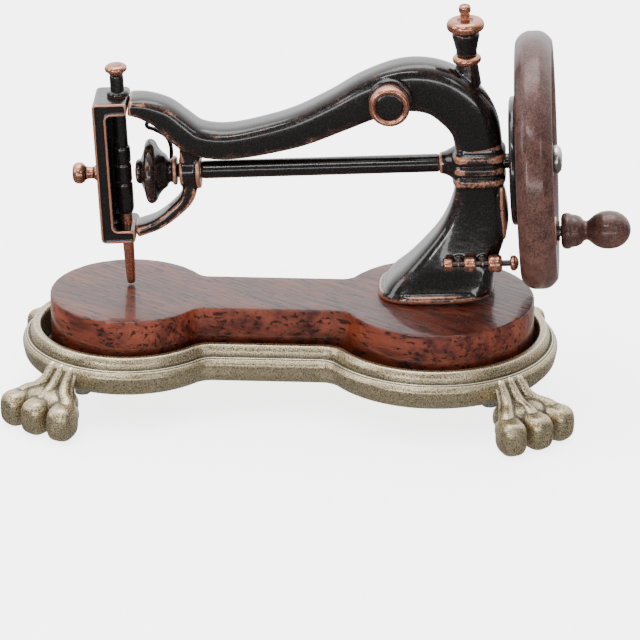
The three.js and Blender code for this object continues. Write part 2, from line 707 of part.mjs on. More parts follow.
for (const { name, z } of faceScrews) {
  const body = woodScrew(faceScrew.length, faceScrew.shank, faceScrew.head).rotateY(Math.PI / 2);
  add(name, body, NICKEL, leaning, [frame.left + 0.1, faceScrew.y, z]);
}
const flangeBottom = frame.top + SEAT;
add(
  "upper_guide_bush",
  turned(
    [
      [bar.radius + RUN, frame.top - frame.leg],
      [UPPER_GUIDE, frame.top - frame.leg],
      [UPPER_GUIDE, flangeBottom],
      [UPPER_GUIDE + guide.flange, flangeBottom],
      [UPPER_GUIDE + guide.flange * 0.4, flangeBottom + guide.flangeHeight],
      [bar.radius + RUN, flangeBottom + guide.flangeHeight],
      [bar.radius + RUN, frame.top - frame.leg],
    ],
    SMALL,
  ),
  COPPER,
  leaning,
  [NEEDLE_X, 0, 0],
);
add(
  "lower_guide_bush",
  tube(LOWER_GUIDE, needle.radius + RUN, frame.bottom, frame.bottom + frame.leg),
  COPPER,
  leaning,
  [NEEDLE_X, 0, 0],
);

// ---------- Needle bar ----------
// The block's top, seen from the leaning frame, rises towards +X: this is its height at the needle.
const BED_AT_NEEDLE = -NEEDLE_X * Math.tan(LEAN);
const NEEDLE_TIP = BED_AT_NEEDLE + needle.lift;
const sleeveBottom = frame.bottom + bar.sleeveLift;
const sleeveSplit = sleeveBottom + 1.6;
add("needle_bar", rod(bar.radius, sleeveSplit + SEAT, BAR_TOP), BLACKENED, leaning, [NEEDLE_X, 0, 0]);
add(
  "needle_clamp",
  turned(
    [
      [needle.radius + SEAT, sleeveBottom],
      [SLEEVE - 0.2, sleeveBottom],
      [SLEEVE, sleeveBottom + 0.3],
      [SLEEVE, SLEEVE_TOP - 0.3],
      [SLEEVE - bar.sleeveBead, SLEEVE_TOP],
      [bar.radius + SEAT, SLEEVE_TOP],
      [bar.radius + SEAT, sleeveSplit],
      [needle.radius + SEAT, sleeveSplit],
      [needle.radius + SEAT, sleeveBottom],
    ],
    SMALL,
  ),
  COPPER,
  leaning,
  [NEEDLE_X, 0, 0],
);
add(
  "needle",
  turned(
    [
      [0, NEEDLE_TIP],
      [needle.tipRadius - 0.3, NEEDLE_TIP],
      [needle.tipRadius, NEEDLE_TIP + 0.3],
      [needle.radius, frame.bottom - bar.stroke],
      [needle.radius, sleeveSplit - SEAT],
      [0, sleeveSplit - SEAT],
    ],
    SMALL,
  ),
  COPPER,
  leaning,
  [NEEDLE_X, 0, 0],
);
const button = { radius: bar.radius + 0.58, height: 1.35 };
add(
  "needle_bar_button",
  turned(
    [
      [0, BAR_TOP + SEAT],
      [bar.radius, BAR_TOP + SEAT],
      [button.radius, BAR_TOP + SEAT + 0.35],
      ...arc(button.radius - 0.35, BAR_TOP + button.height - 0.35, 0.35, 0, 80, 3),
      [0, BAR_TOP + button.height + 0.05],
    ],
    SMALL,
  ),
  COPPER,
  leaning,
  [NEEDLE_X, 0, 0],
);

// ---------- Pressure screw at the left end ----------
const pressureHead = { left: frame.left - 3.4, neck: frame.left };
add(
  "pressure_screw",
  turnedX(
    [
      [0, pressureHead.left],
      ...arc(0.75, pressureHead.left + 0.7, 0.7, -90, 0, 4),
      [1.35, pressureHead.left + 1.5],
      [0.9, pressureHead.left + 2.1],
      [0.9, pressureHead.neck],
      [pressure.neck, pressureHead.neck],
      [pressure.neck, frame.left + frame.wall - pressure.tip],
      [0, frame.left + frame.wall - pressure.tip],
    ],
    SMALL,
  ),
  COPPER,
  leaning,
  [0, 0, SHAFT_Z],
);

// ---------- Main shaft and drive disc ----------
const shoulderX = collar.right + END_PLAY;
const rearShoulder = boss.left - END_PLAY;
const wheelLeft = boss.right + hubPlate.gap + hubPlate.thickness + SEAT;
const wheelRight = wheelLeft + wheel.width;
const webMiddle = wheelLeft + wheel.width / 2 + wheel.webOffset;
const webLeft = webMiddle - wheel.web / 2;
const webRight = webMiddle + wheel.web / 2;
const hubFace = webRight + wheel.hubProud;
const shaftRight = hubFace - shaft.inset;
const discRight = collar.left - disc.gap;
const discX = SHAFT_LEFT + disc.offset;
const tapHole = rodX(screw.shank + SEAT, shaftRight - screw.length, shaftRight + 1);
const shaftBody = turnedX(
  [
    [0, SHAFT_LEFT],
    [shaft.seat / 2, SHAFT_LEFT],
    [shaft.seat / 2, discRight + SEAT],
    [shaft.journal / 2, discRight + SEAT],
    [shaft.journal / 2, shoulderX],
    [shaft.front / 2, shoulderX],
    [shaft.rear / 2 + 0.08, rearShoulder],
    [shaft.rear / 2, rearShoulder],
    [shaft.rear / 2, shaftRight],
    [0, shaftRight],
  ],
  SMALL,
);
add("main_shaft", cut(shaftBody, tapHole), BLACKENED, leaning, [0, 0, SHAFT_Z]);
const discLeft = SHAFT_LEFT + 0.1;
add(
  "drive_disc",
  turnedX([
    [shaft.seat / 2 + SEAT, discLeft],
    [disc.leftHub, discLeft],
    [disc.leftHub, discLeft + 0.6],
    [disc.leftHub - 0.4, discLeft + 0.8],
    [disc.radius - 0.35, discX - disc.rim / 2],
    [disc.radius, discX - disc.rim / 2 + 0.25],
    [disc.radius, discX + disc.rim / 2 - 0.25],
    [disc.radius - 0.35, discX + disc.rim / 2],
    [disc.rightHub + 0.5, discRight - 1.3],
    [disc.rightHub, discRight - 0.8],
    [disc.rightHub, discRight],
    [shaft.seat / 2 + SEAT, discRight],
    [shaft.seat / 2 + SEAT, discLeft],
  ]),
  BLACKENED,
  leaning,
  [0, 0, SHAFT_Z],
);

// Thin bent wire behind the disc, set into the arm's underside.
const wire = { radius: 0.28, ball: 0.5 };
const wireBack = disc.radius + 0.4;
const wireEnd = [0.2, 3.7, -4.35];
const wirePath = new THREE.CatmullRomCurve3(
  [[0.8, 2.2, 6.7], [-0.5, 2.6, 5.3], [0.5, 3.1, 4.5], [2.0, wireBack - 0.4, 2.7], [2.2, wireBack, -0.3],
    [1.8, wireBack - 0.4, -3.0], wireEnd].map(([x, y, z]) => new THREE.Vector3(discX + x, y, SHAFT_Z + z)),
);
const wireSection = new THREE.Shape().absarc(0, 0, wire.radius, 0, 2 * Math.PI, false);
const wireBody = new THREE.ExtrudeGeometry(wireSection, {
  steps: 20,
  curveSegments: 4,
  bevelEnabled: false,
  extrudePath: wirePath,
});
const wireBall = egg(0, 0, 0, 2 * wire.ball, 2 * wire.ball, 2 * wire.ball)
  .translate(discX + wireEnd[0], wireEnd[1], SHAFT_Z + wireEnd[2]);
add("thread_hook", cut(join(wireBody, wireBall), armBody), BLACKENED, leaning);

// ---------- Hand wheel ----------
const boreRadius = shaft.rear / 2 + SEAT;
function slot() {
  const s = new THREE.Shape();
  const { slotNarrow, slotWide, slotMargin } = wheel;
  const slotInner = wheel.hubRadius + slotMargin;
  const slotOuter = INNER_RIM - slotMargin;
  s.absarc(slotOuter - slotWide, 0, slotWide, -Math.PI / 2, Math.PI / 2, false);
  s.absarc(slotInner + slotNarrow, 0, slotNarrow, Math.PI / 2, (3 * Math.PI) / 2, false);
  const depth = wheel.width;
  const body = new THREE.ExtrudeGeometry(s, { depth, bevelEnabled: false, curveSegments: 3 });
  return body.rotateY(Math.PI / 2).translate(wheelLeft, 0, 0);
}
const wheelBlank = turnedX(
  [
    [boreRadius, wheelLeft],
    [3.2, wheelLeft],
    [3.8, webLeft],
    [INNER_RIM - 0.4, webLeft],
    [INNER_RIM, webLeft - 0.5],
    [INNER_RIM, wheelLeft + 0.8],
    ...arc(INNER_RIM + 0.8, wheelLeft + 0.8, 0.8, 180, 270, 2),
    ...arc(wheel.radius - 1.2, wheelLeft + 1.2, 1.2, -90, 0, 3),
    ...arc(wheel.radius - 1.2, wheelRight - 1.2, 1.2, 0, 90, 3),
    ...arc(INNER_RIM + 0.8, wheelRight - 0.8, 0.8, 90, 180, 2),
    [INNER_RIM, webRight + 0.5],
    [INNER_RIM - 0.4, webRight],
    [wheel.hubRadius + 0.4, webRight],
    [wheel.hubRadius, hubFace],
    [boreRadius, hubFace],
    [boreRadius, wheelLeft],
  ],
  32,
);
const pinBoss = rodX(1.9, webLeft - 0.3, hubFace + 0.2).translate(0, 0, -CRANK_RADIUS);
const slots = [];
for (let k = 1; k < wheel.slots; k++) {
  slots.push(slot().rotateX((2 * Math.PI * k) / wheel.slots));
}
const pinHole = rodX(crank.pin + SEAT, wheelLeft, wheelRight).translate(0, 0, -CRANK_RADIUS);
add(
  "hand_wheel",
  cut(join(wheelBlank, pinBoss), ...slots, pinHole),
  MOTTLED,
  leaning,
  [0, 0, SHAFT_Z],
);
const plateRight = wheelLeft - SEAT;
add(
  "hub_plate",
  turnedX([
    [boreRadius, plateRight - hubPlate.thickness],
    ...arc(hubPlate.radius - 0.3, plateRight - hubPlate.thickness + 0.3, 0.3, -90, 0, 2),
    ...arc(hubPlate.radius - 0.3, plateRight - 0.3, 0.3, 0, 90, 2),
    [boreRadius, plateRight],
    [boreRadius, plateRight - hubPlate.thickness],
  ]),
  BLACKENED,
  leaning,
  [0, 0, SHAFT_Z],
);
const washer = { radius: 2.3, thickness: 0.4 };
const washerLeft = hubFace + SEAT;
add(
  "wheel_washer",
  tubeX(washer.radius, screw.shank + SEAT, washerLeft, washerLeft + washer.thickness),
  BLACKENED,
  leaning,
  [0, 0, SHAFT_Z],
);
const screwFace = washerLeft + washer.thickness + SEAT;
const crossSlot = (turn) => new THREE.BoxGeometry(1.2, 2.1, 0.42).rotateX(turn)
  .translate(screwFace + screw.headHeight, 0, 0);
const screwBody = turnedX(
  [
    [0, shaftRight - screw.length + 0.2],
    [screw.shank, shaftRight - screw.length + 0.2],
    [screw.shank, screwFace],
    [screw.head, screwFace],
    [screw.head, screwFace + 0.35],
    [screw.head * 0.75, screwFace + 0.85],
    [screw.head * 0.4, screwFace + screw.headHeight],
    [0, screwFace + screw.headHeight],
  ],
  SMALL,
);
const cross = [crossSlot(0.4), crossSlot(0.4 + Math.PI / 2)];
add("wheel_screw", cut(screwBody, ...cross), NICKEL, leaning, [0, 0, SHAFT_Z]);

// ---------- Crank pin and grip ----------
const PIN_Z = SHAFT_Z - CRANK_RADIUS;
const pinFace = hubFace + 0.2 + SEAT;
const gripLeft = wheelRight + 0.4;
const grip = { collarLength: 2.7, waist: 1.2, neckLength: 0.9, eggLength: 5.7, bore: 6.6 };
const eggLeft = gripLeft + grip.collarLength + grip.neckLength - 0.3;
add(
  "crank_pin",
  turnedX(
    [
      [0, webLeft - 0.9],
      [1.2, webLeft - 0.9],
      [1.2, webLeft - 0.3 - SEAT],
      [crank.pin, webLeft - 0.3 - SEAT],
      [crank.pin, pinFace],
      [crank.shoulder, pinFace],
      [crank.shoulder, gripLeft - END_PLAY],
      [crank.pin, gripLeft - END_PLAY],
      [crank.pin, gripLeft + grip.bore - END_PLAY],
      [0, gripLeft + grip.bore - END_PLAY],
    ],
    SMALL,
  ),
  BLACKENED,
  leaning,
  [0, 0, PIN_Z],
);
function eggPoints(steps = 9) {
  return Array.from({ length: steps }, (_, i) => {
    const start = Math.asin(grip.waist / crank.egg) * 0.6;
    const angle = start + ((Math.PI - start) * i) / steps;
    const share = (Math.cos(start) - Math.cos(angle)) / (Math.cos(start) + 1);
    const radius = Math.max(grip.waist * (1 - share), crank.egg * Math.sin(angle));
    return [radius, eggLeft + share * grip.eggLength];
  });
}
add(
  "crank_grip",
  turnedX([
    [crank.pin + RUN, gripLeft],
    [crank.collar - 0.9, gripLeft],
    ...arc(crank.collar - 0.6, gripLeft + 0.6, 0.6, -90, 0, 3),
    ...arc(crank.collar - 0.6, gripLeft + grip.collarLength - 0.6, 0.6, 0, 90, 3),
    [grip.waist, gripLeft + grip.collarLength + 0.2],
    ...eggPoints(),
    [0, eggLeft + grip.eggLength],
    [0, gripLeft + grip.bore],
    [crank.pin + RUN, gripLeft + grip.bore],
    [crank.pin + RUN, gripLeft],
  ]),
  MOTTLED,
  leaning,
  [0, 0, PIN_Z],
);

// ---------- Tension post ----------
const flangeLow = LUG_TOP + SEAT;
const barrelLow = flangeLow + post.flangeHeight + SEAT;
const nutLow = barrelLow + post.barrelHeight + SEAT;
const studTop = nutLow + post.nutHeight + post.proud;
const studSlot = new THREE.BoxGeometry(3, 0.4, 1.2).translate(0, 0, studTop);
const studBody = turned(
  [[0, LUG_TOP - 3], [post.stud, LUG_TOP - 3], [post.stud, studTop - 0.15],
    [post.stud - 0.15, studTop], [0, studTop]],
  SMALL,
);
add("tension_stud", cut(studBody, studSlot), COPPER, leaning, [post.x, 0, 0]);
const rounded = (radius, from, to, edge) => [
  ...arc(radius - edge, from + edge, edge, -90, 0, 2),
  ...arc(radius - edge, to - edge, edge, 0, 90, 2),
];
const ringOn = (bore, outline, facets = FINE) => turned(
  [[bore, outline[0][1]], ...outline, [bore, outline.at(-1)[1]], [bore, outline[0][1]]],
  facets,
);
const onStud = post.stud + SEAT;
add(
  "tension_flange",
  ringOn(onStud, rounded(post.flange, flangeLow, flangeLow + post.flangeHeight, 0.4)),
  COPPER,
  leaning,
  [post.x, 0, 0],
);
add(
  "tension_barrel",
  ringOn(onStud, [
    [post.barrelLow - 0.3, barrelLow],
    [post.barrelLow, barrelLow + 0.4],
    [post.barrelLow - 0.15, barrelLow + 1.2],
    [post.barrelHigh, barrelLow + 2.1],
    [post.barrelHigh, barrelLow + post.barrelHeight],
  ]),
  BLACKENED,
  leaning,
  [post.x, 0, 0],
);
add(
  "thumb_nut",
  ringOn(post.stud + RUN, rounded(post.nut, nutLow, nutLow + post.nutHeight, 0.55)),
  COPPER,
  leaning,
  [post.x, 0, 0],
);

// ---------- Side knob ----------
const ringFront = armFace + SEAT;
const knobBack = ringFront + knob.ringLength + END_PLAY;
const knobFront = knobBack + knob.length;
add(
  "side_knob_ring",
  turnedFront([
    [stem.radius + SEAT, ringFront],
    [knob.ring, ringFront],
    [knob.ring, ringFront + knob.ringLength - 0.2],
    [knob.ring - 0.2, ringFront + knob.ringLength],
    [stem.radius + SEAT, ringFront + knob.ringLength],
    [stem.radius + SEAT, ringFront],
  ]),
  BLACKENED,
  leaning,
  [knob.x, 0, knob.z],
);
add("side_knob_stem", rodFront(stem.radius, stem.from, stem.to), NICKEL, leaning, [knob.x, 0, knob.z]);
const dish = { radius: 1.75, depth: 0.5 };
add(
  "side_knob",
  turnedFront([
    [stem.radius + RUN, knobBack],
    [knob.radius - 0.2, knobBack],
    [knob.radius, knobBack + 0.2],
    ...arc(knob.radius - 0.35, knobFront - 0.35, 0.35, 0, 90, 3),
    [dish.radius + 0.15, knobFront],
    [dish.radius, knobFront - dish.depth],
    [0, knobFront - dish.depth + 0.1],
    [0, stem.to + SEAT + 0.1],
    [stem.radius + RUN, stem.to + SEAT + 0.1],
    [stem.radius + RUN, knobBack],
  ]),
  COPPER,
  leaning,
  [knob.x, 0, knob.z],
);

// ---------- Bobbin winder ----------
const winderAt = [0, winder.y, winder.z];
const winderRight = wheelLeft - 0.2;
add("winder_spindle", rodX(winder.rod, winder.left, winderRight - 0.1), BLACKENED, leaning, winderAt);
const beads = [
  { name: "winder_collar", left: 1.0, right: 2.2, radius: 0.85 },
  { name: "winder_bobbin", left: 3.6, right: 5.2, radius: 1.0 },
  { name: "winder_pulley", left: 6.7, right: 8.5, radius: 1.2 },
  { name: "winder_tyre", left: winderRight - 1.25, right: winderRight - 0.15, radius: 1.05 },
];
for (const { name, left, right, radius } of beads) {
  const edge = Math.min(0.4, (right - left) / 3);
  const outline = rounded(radius, left, right, edge);
  add(name, ringOn(winder.rod + SEAT, outline, SMALL).rotateY(Math.PI / 2), COPPER, leaning, winderAt);
}

// The origin is on the ground, under the middle of the whole machine.
machine.updateMatrixWorld(true);
const whole = new THREE.Box3().setFromObject(machine);
const middle = whole.getCenter(new THREE.Vector3());
machine.position.set(-middle.x, -middle.y, -whole.min.z);

export default machine;
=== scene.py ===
# %% [markdown]
# # A miniature hand-crank sewing machine
# The frame gives the axes and the main sizes, and the finer profiles are written here in
# millimetres. This lesson gives the machine its looks: fine castings, turned copper, lacquered
# wood and worn antique finishes. The leaning head and the straight base each get their own axes,
# so that every piece can be drawn in plain millimetres and then put where the frame says.

# %% Load the frame
import json
import math
import bmesh
import bpy
import numpy as np
from mathutils import Matrix, Vector


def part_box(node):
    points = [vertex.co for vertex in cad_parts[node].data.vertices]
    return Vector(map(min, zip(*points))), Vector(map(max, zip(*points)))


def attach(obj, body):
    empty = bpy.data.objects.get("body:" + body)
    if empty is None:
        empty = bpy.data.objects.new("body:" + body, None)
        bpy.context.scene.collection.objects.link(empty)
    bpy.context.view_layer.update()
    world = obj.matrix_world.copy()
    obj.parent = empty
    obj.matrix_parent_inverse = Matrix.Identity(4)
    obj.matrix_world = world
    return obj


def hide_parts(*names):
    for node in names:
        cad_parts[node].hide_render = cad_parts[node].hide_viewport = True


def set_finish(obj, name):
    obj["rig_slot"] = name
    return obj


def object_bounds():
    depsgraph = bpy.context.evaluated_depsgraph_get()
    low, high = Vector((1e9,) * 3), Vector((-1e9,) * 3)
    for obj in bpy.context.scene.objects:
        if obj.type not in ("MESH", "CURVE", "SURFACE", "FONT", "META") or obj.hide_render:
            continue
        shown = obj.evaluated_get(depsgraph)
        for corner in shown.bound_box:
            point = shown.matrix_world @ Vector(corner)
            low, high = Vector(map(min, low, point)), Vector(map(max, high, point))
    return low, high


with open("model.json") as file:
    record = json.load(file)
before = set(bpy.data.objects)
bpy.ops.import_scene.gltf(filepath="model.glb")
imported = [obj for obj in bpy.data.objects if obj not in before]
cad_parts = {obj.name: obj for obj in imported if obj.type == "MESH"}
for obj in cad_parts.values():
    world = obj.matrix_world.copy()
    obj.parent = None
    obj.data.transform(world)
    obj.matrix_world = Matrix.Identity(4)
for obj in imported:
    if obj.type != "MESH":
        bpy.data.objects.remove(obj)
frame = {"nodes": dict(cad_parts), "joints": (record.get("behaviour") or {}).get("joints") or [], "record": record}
cad_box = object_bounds()
joints = {joint["name"]: joint for joint in frame["joints"]}
MM = 0.001
print("nodes:", len(frame["nodes"]), "joints:", sorted(joints))

# %% Axes of the leaning head and of the base
HEAD_X = Vector(joints["wheel_turn"]["axis"]).normalized()
HEAD_Z = Vector(joints["needle_slide"]["axis"]).normalized()
HEAD_Y = HEAD_Z.cross(HEAD_X).normalized()
on_shaft = Vector(joints["wheel_turn"]["pos_m"])
block_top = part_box("wood_block")[1].z
SHAFT_Z = (on_shaft.z - block_top) / HEAD_Z.z / MM
AXLE = (0, 0, SHAFT_Z)
head_origin = on_shaft - HEAD_Z * SHAFT_Z * MM
HEAD = Matrix.Translation(head_origin) @ Matrix(
    [[*row, 0] for row in zip(HEAD_X, HEAD_Y, HEAD_Z)] + [[0, 0, 0, 1]]
)
tray_low, tray_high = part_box("base_tray")
LOBES = {"left": (-20.9, 10.4), "right": (19.0, 12.6)}  # centre and radius of each lobe
OUTLINE_MIDDLE = (LOBES["right"][0] + LOBES["right"][1] + LOBES["left"][0] - LOBES["left"][1]) / 2
BASE = Matrix.Translation((
    (tray_low.x + tray_high.x) / 2 - OUTLINE_MIDDLE * MM,
    (tray_low.y + tray_high.y) / 2,
    0,
))
print("shaft height", round(SHAFT_Z, 3), "head origin", [round(v, 5) for v in head_origin])


def points_of(mesh, field="co"):
    """A row of three numbers for each point: its place, or another field."""
    rows = np.empty(len(mesh.vertices) * 3)
    mesh.vertices.foreach_get(field, rows)
    return rows.reshape(-1, 3)


def span(node, axes=HEAD):
    """Lowest and highest corners of a CAD node in millimetres, along the given axes."""
    inverse = np.array(axes.inverted())
    local = (points_of(frame["nodes"][node].data) @ inverse[:3, :3].T + inverse[:3, 3]) / MM
    return local.min(0), local.max(0)


def centre_of(node, axes=HEAD):
    """The middle of a CAD node's box in millimetres, along the given axes."""
    lowest, highest = span(node, axes)
    return (lowest + highest) / 2


# %% [markdown]
# ## Making meshes
# Nearly every piece is one of three kinds: turned on a lathe, swept through sections, or cast.
# A turned piece is a profile spun round an axis, with its corners rounded, because a sharp
# corner catches no light. A casting is made from simple bodies that are melted together by a
# voxel remesh, which leaves the soft fillets that a mould leaves.

# %% Meshes from rings of points
def skin(rings, closed=False):
    """Faces between rings of the same length. Flat caps close an open run of rings."""
    rings = np.asarray(rings, float)
    rows, count = rings.shape[:2]
    index = np.arange(rows * count).reshape(rows, count)
    lower = index if closed else index[:-1]
    upper = np.roll(index, -1, 0) if closed else index[1:]
    quads = np.stack([lower, np.roll(lower, -1, 1), np.roll(upper, -1, 1), upper], -1)
    faces = quads.reshape(-1, 4).tolist()
    if not closed:
        faces += [index[0, ::-1].tolist(), index[-1].tolist()]
    return rings.reshape(-1, 3), faces


def together(*bodies):
    """Several bodies as one list of points and faces."""
    points, faces, start = [], [], 0
    for body_points, body_faces in bodies:
        points.append(np.asarray(body_points, float))
        faces += [[i + start for i in face] for face in body_faces]
        start += len(body_points)
    return np.concatenate(points), faces


def rounded(profile, radius=0.12, steps=4, closed=False):
    """The same outline with every corner replaced by a short curve."""
    corners = [np.array(p, float) for p in profile]
    count = len(corners)
    out = []
    for i, corner in enumerate(corners):
        if not closed and i in (0, count - 1):
            out.append(corner)
            continue
        before, after = corners[i - 1], corners[(i + 1) % count]
        reach_in = min(radius, 0.45 * np.linalg.norm(before - corner))
        reach_out = min(radius, 0.45 * np.linalg.norm(after - corner))
        start = corner + (before - corner) / (np.linalg.norm(before - corner) + 1e-9) * reach_in
        end = corner + (after - corner) / (np.linalg.norm(after - corner) + 1e-9) * reach_out
        for t in np.linspace(0, 1, steps + 1):
            out.append((1 - t) ** 2 * start + 2 * t * (1 - t) * corner + t * t * end)
    return np.array(out)


# Directions of a turned piece: its own axis, and the two directions round it.
TURNS = {
    "x": np.array([[1, 0, 0], [0, 1, 0], [0, 0, 1]], float),
    "z": np.array([[0, 0, 1], [1, 0, 0], [0, 1, 0]], float),
    "front": np.array([[0, -1, 0], [1, 0, 0], [0, 0, 1]], float),
}


TIP_RADIUS = 0.004  # where a profile reaches its axis, a tiny flat cap closes it


def turned(profile, axis="x", at=(0, 0, 0), facets=72, corner=0.12, steps=4, ring=False):
    """A turned body from [along, radius] pairs. A ring's profile closes on itself."""
    outline = rounded(profile, corner, steps, closed=ring)
    along, side, up = TURNS[axis]
    angles = np.arange(facets) * 2 * math.pi / facets
    around = np.cos(angles)[:, None] * side + np.sin(angles)[:, None] * up
    rings = [np.array(at) + t * along + max(r, TIP_RADIUS) * around for t, r in outline]
    return skin(rings, closed=ring)


def smooth_rows(rows, steps):
    """Rows of numbers joined by a smooth curve that passes through each of them."""
    rows = np.asarray(rows, float)
    padded = np.vstack([2 * rows[0] - rows[1], rows, 2 * rows[-1] - rows[-2]])
    out = []
    for i in range(len(rows) - 1):
        a, b, c, d = padded[i:i + 4]
        for t in np.arange(steps) / steps:
            out.append(0.5 * (2 * b + (c - a) * t + (2 * a - 5 * b + 4 * c - d) * t * t
                              + (3 * b - a - 3 * c + d) * t ** 3))
    return np.array(out + [rows[-1]])


def ball(at, half, squareness=2.0, turn=0.0, facets=28):
    """An egg, or with more squareness a pillow, turned about the vertical."""
    def power(v):
        return np.sign(v) * np.abs(v) ** (2 / squareness)
    around = np.arange(facets) * 2 * math.pi / facets
    rings = []
    for tilt in np.linspace(-math.pi / 2, math.pi / 2, facets // 2 + 1):
        x = power(np.cos(tilt)) * power(np.cos(around)) * half[0]
        y = power(np.cos(tilt)) * power(np.sin(around)) * half[1]
        z = np.full(facets, power(np.sin(tilt)) * half[2])
        c, s = math.cos(turn), math.sin(turn)
        rings.append(np.stack([x * c - y * s, x * s + y * c, z], -1) + np.array(at))
    return skin(rings)


ROUND_END = ((0.7, 0.7), (1, 0.02))  # shares of the radius: how far past the end, how wide


def bar_along(points, radii, facets=20):
    """A round bar through points, each with its radius, with rounded ends."""
    path = smooth_rows([[*p, r] for p, r in zip(points, radii)], 8)
    centres, sizes = path[:, :3], path[:, 3]
    ways = np.gradient(centres, axis=0)
    ways /= np.linalg.norm(ways, axis=1)[:, None]
    angles = np.arange(facets) * 2 * math.pi / facets
    rings = []
    for k, (centre, way, size) in enumerate(zip(centres, ways, sizes)):
        side = np.cross(way, [0, 0, 1.0])
        side /= np.linalg.norm(side) + 1e-9
        up = np.cross(side, way)
        ring = (np.cos(angles)[:, None] * side + np.sin(angles)[:, None] * up) * size
        if k == 0:
            rings += [centre - way * size * out + ring * wide for out, wide in ROUND_END[::-1]]
        rings.append(centre + ring)
        if k == len(centres) - 1:
            rings += [centre + way * size * out + ring * wide for out, wide in ROUND_END]
    return skin(rings)


print("ways to turn a profile:", sorted(TURNS))

# %% [markdown]
# ## From points to a finished piece
# `curve_of` measures how sharply the surface bends at each point and stores it as an attribute,
# in radians per millimetre: positive on outer edges, negative in hollows. The finishes read it
# to rub copper through on the edges and to leave dirt in the hollows, as handling does. They also
# read it to lay a painted highlight on the brass and a painted brown sheen on the black where it bends out.

# %% Finished pieces
PIECES = {}


def in_scene(name, data):
    """An object that holds the data, linked to the scene."""
    thing = bpy.data.objects.new(name, data)
    bpy.context.scene.collection.objects.link(thing)
    return thing


BEND_MOST = 4  # sharper bends count as this
BEND_SPREAD = 2  # rounds of averaging with the neighbours


def curve_of(mesh, wear):
    """Stores each point's bend, per millimetre and times its wear, as the attribute "bend"."""
    count = len(mesh.vertices)
    at = points_of(mesh) / MM
    normal = points_of(mesh, "normal")
    edges = np.empty(len(mesh.edges) * 2, int)
    mesh.edges.foreach_get("vertices", edges)
    a, b = edges.reshape(-1, 2).T
    step = at[b] - at[a]
    square = (step ** 2).sum(1) + 1e-6
    # The normal's turn along each edge, shared over the edges that meet at a point.
    turn = ((normal[b] - normal[a]) * step).sum(1) / square
    total = np.bincount(a, turn, count) + np.bincount(b, turn, count)
    shares = np.bincount(a, minlength=count) + np.bincount(b, minlength=count)
    bend = total / np.maximum(shares, 1)
    for _ in range(BEND_SPREAD):
        mixed = np.bincount(a, bend[b], count) + np.bincount(b, bend[a], count)
        bend = 0.5 * bend + 0.5 * mixed / np.maximum(shares, 1)
    bend -= np.median(bend)  # a thin rod bends everywhere, and only its edges should count
    attribute = mesh.attributes.new("bend", "FLOAT", "POINT")
    attribute.data.foreach_set("value", np.clip(bend * wear, -BEND_MOST, BEND_MOST).astype(np.float32))


WELD = 2e-6  # points closer than this are one


def piece(name, body, axes, mesh_of, slot, *stands_for, wear=1.0):
    """One object with its place in its mesh. mesh_of is points and faces, or a ready mesh.
    With more wear, more copper shows on its edges."""
    if isinstance(mesh_of, bpy.types.Mesh):
        mesh = mesh_of
        mesh.name = name
        mesh.transform(axes @ Matrix.Scale(MM, 4))
    else:
        points, faces = mesh_of
        mesh = bpy.data.meshes.new(name)
        placed = np.asarray(points) * MM @ np.array(axes)[:3, :3].T + np.array(axes)[:3, 3]
        mesh.from_pydata(placed.tolist(), [], faces)
    tidy = bmesh.new()
    tidy.from_mesh(mesh)
    bmesh.ops.remove_doubles(tidy, verts=tidy.verts, dist=WELD)
    bmesh.ops.recalc_face_normals(tidy, faces=tidy.faces)
    for face in tidy.faces:
        face.smooth = len(face.verts) <= 4
    tidy.to_mesh(mesh)
    tidy.free()
    mesh.update()
    curve_of(mesh, wear)
    thing = in_scene(name, mesh)
    PIECES[name] = thing
    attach(thing, body)
    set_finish(thing, slot)
    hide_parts(*stands_for)
    print(f"{name}: {len(mesh.polygons)} faces")
    return thing


def evaluated_mesh(thing):
    """The mesh that an object's modifiers make."""
    graph = bpy.context.evaluated_depsgraph_get()
    return bpy.data.meshes.new_from_object(thing.evaluated_get(graph))


def closed_mesh(points, faces):
    """A mesh in millimetres whose faces point outwards."""
    mesh = bpy.data.meshes.new("closed")
    mesh.from_pydata(np.asarray(points).tolist(), [], faces)
    tidy = bmesh.new()
    tidy.from_mesh(mesh)
    bmesh.ops.recalc_face_normals(tidy, faces=tidy.faces)
    tidy.to_mesh(mesh)
    tidy.free()
    return mesh


def joined(mesh, other):
    """The first mesh with the faces of the other added."""
    both = bmesh.new()
    both.from_mesh(mesh)
    both.from_mesh(other)
    both.to_mesh(mesh)
    both.free()
    return mesh


def melted(bodies, voxel, relax=3, cutter=None):
    """Overlapping bodies melted into one casting, in millimetres, less what the cutter takes."""
    mesh = closed_mesh(*together(*bodies))
    thing = in_scene("melt", mesh)
    if cutter is not None:
        cut = thing.modifiers.new("cut", "BOOLEAN")
        cut.operation = "DIFFERENCE"
        cut.solver = "EXACT"
        cut.object = cutter
    remesh = thing.modifiers.new("melt", "REMESH")
    remesh.mode = "VOXEL"
    remesh.voxel_size = voxel
    soften = thing.modifiers.new("soften", "SMOOTH")
    soften.factor = 0.5
    soften.iterations = relax
    result = evaluated_mesh(thing)
    bpy.data.objects.remove(thing)
    bpy.data.meshes.remove(mesh)
    if cutter is not None:
        bpy.data.objects.remove(cutter)
    return result


print("points are welded within", WELD / MM, "mm")

# %% [markdown]
# ## The wooden block and the brass tray
# Both follow one outline: two round lobes joined by a waist, like a fiddle. The outline is worked
# out from arcs, so the same rule at another distance gives the tray's wall, its bead and its
# grooves, and all of them stay parallel.

# %% Fiddle outline
WAIST = 5.3  # half width of the block's waist
LOBE_STEPS = 72
FILLET_STEPS = 14


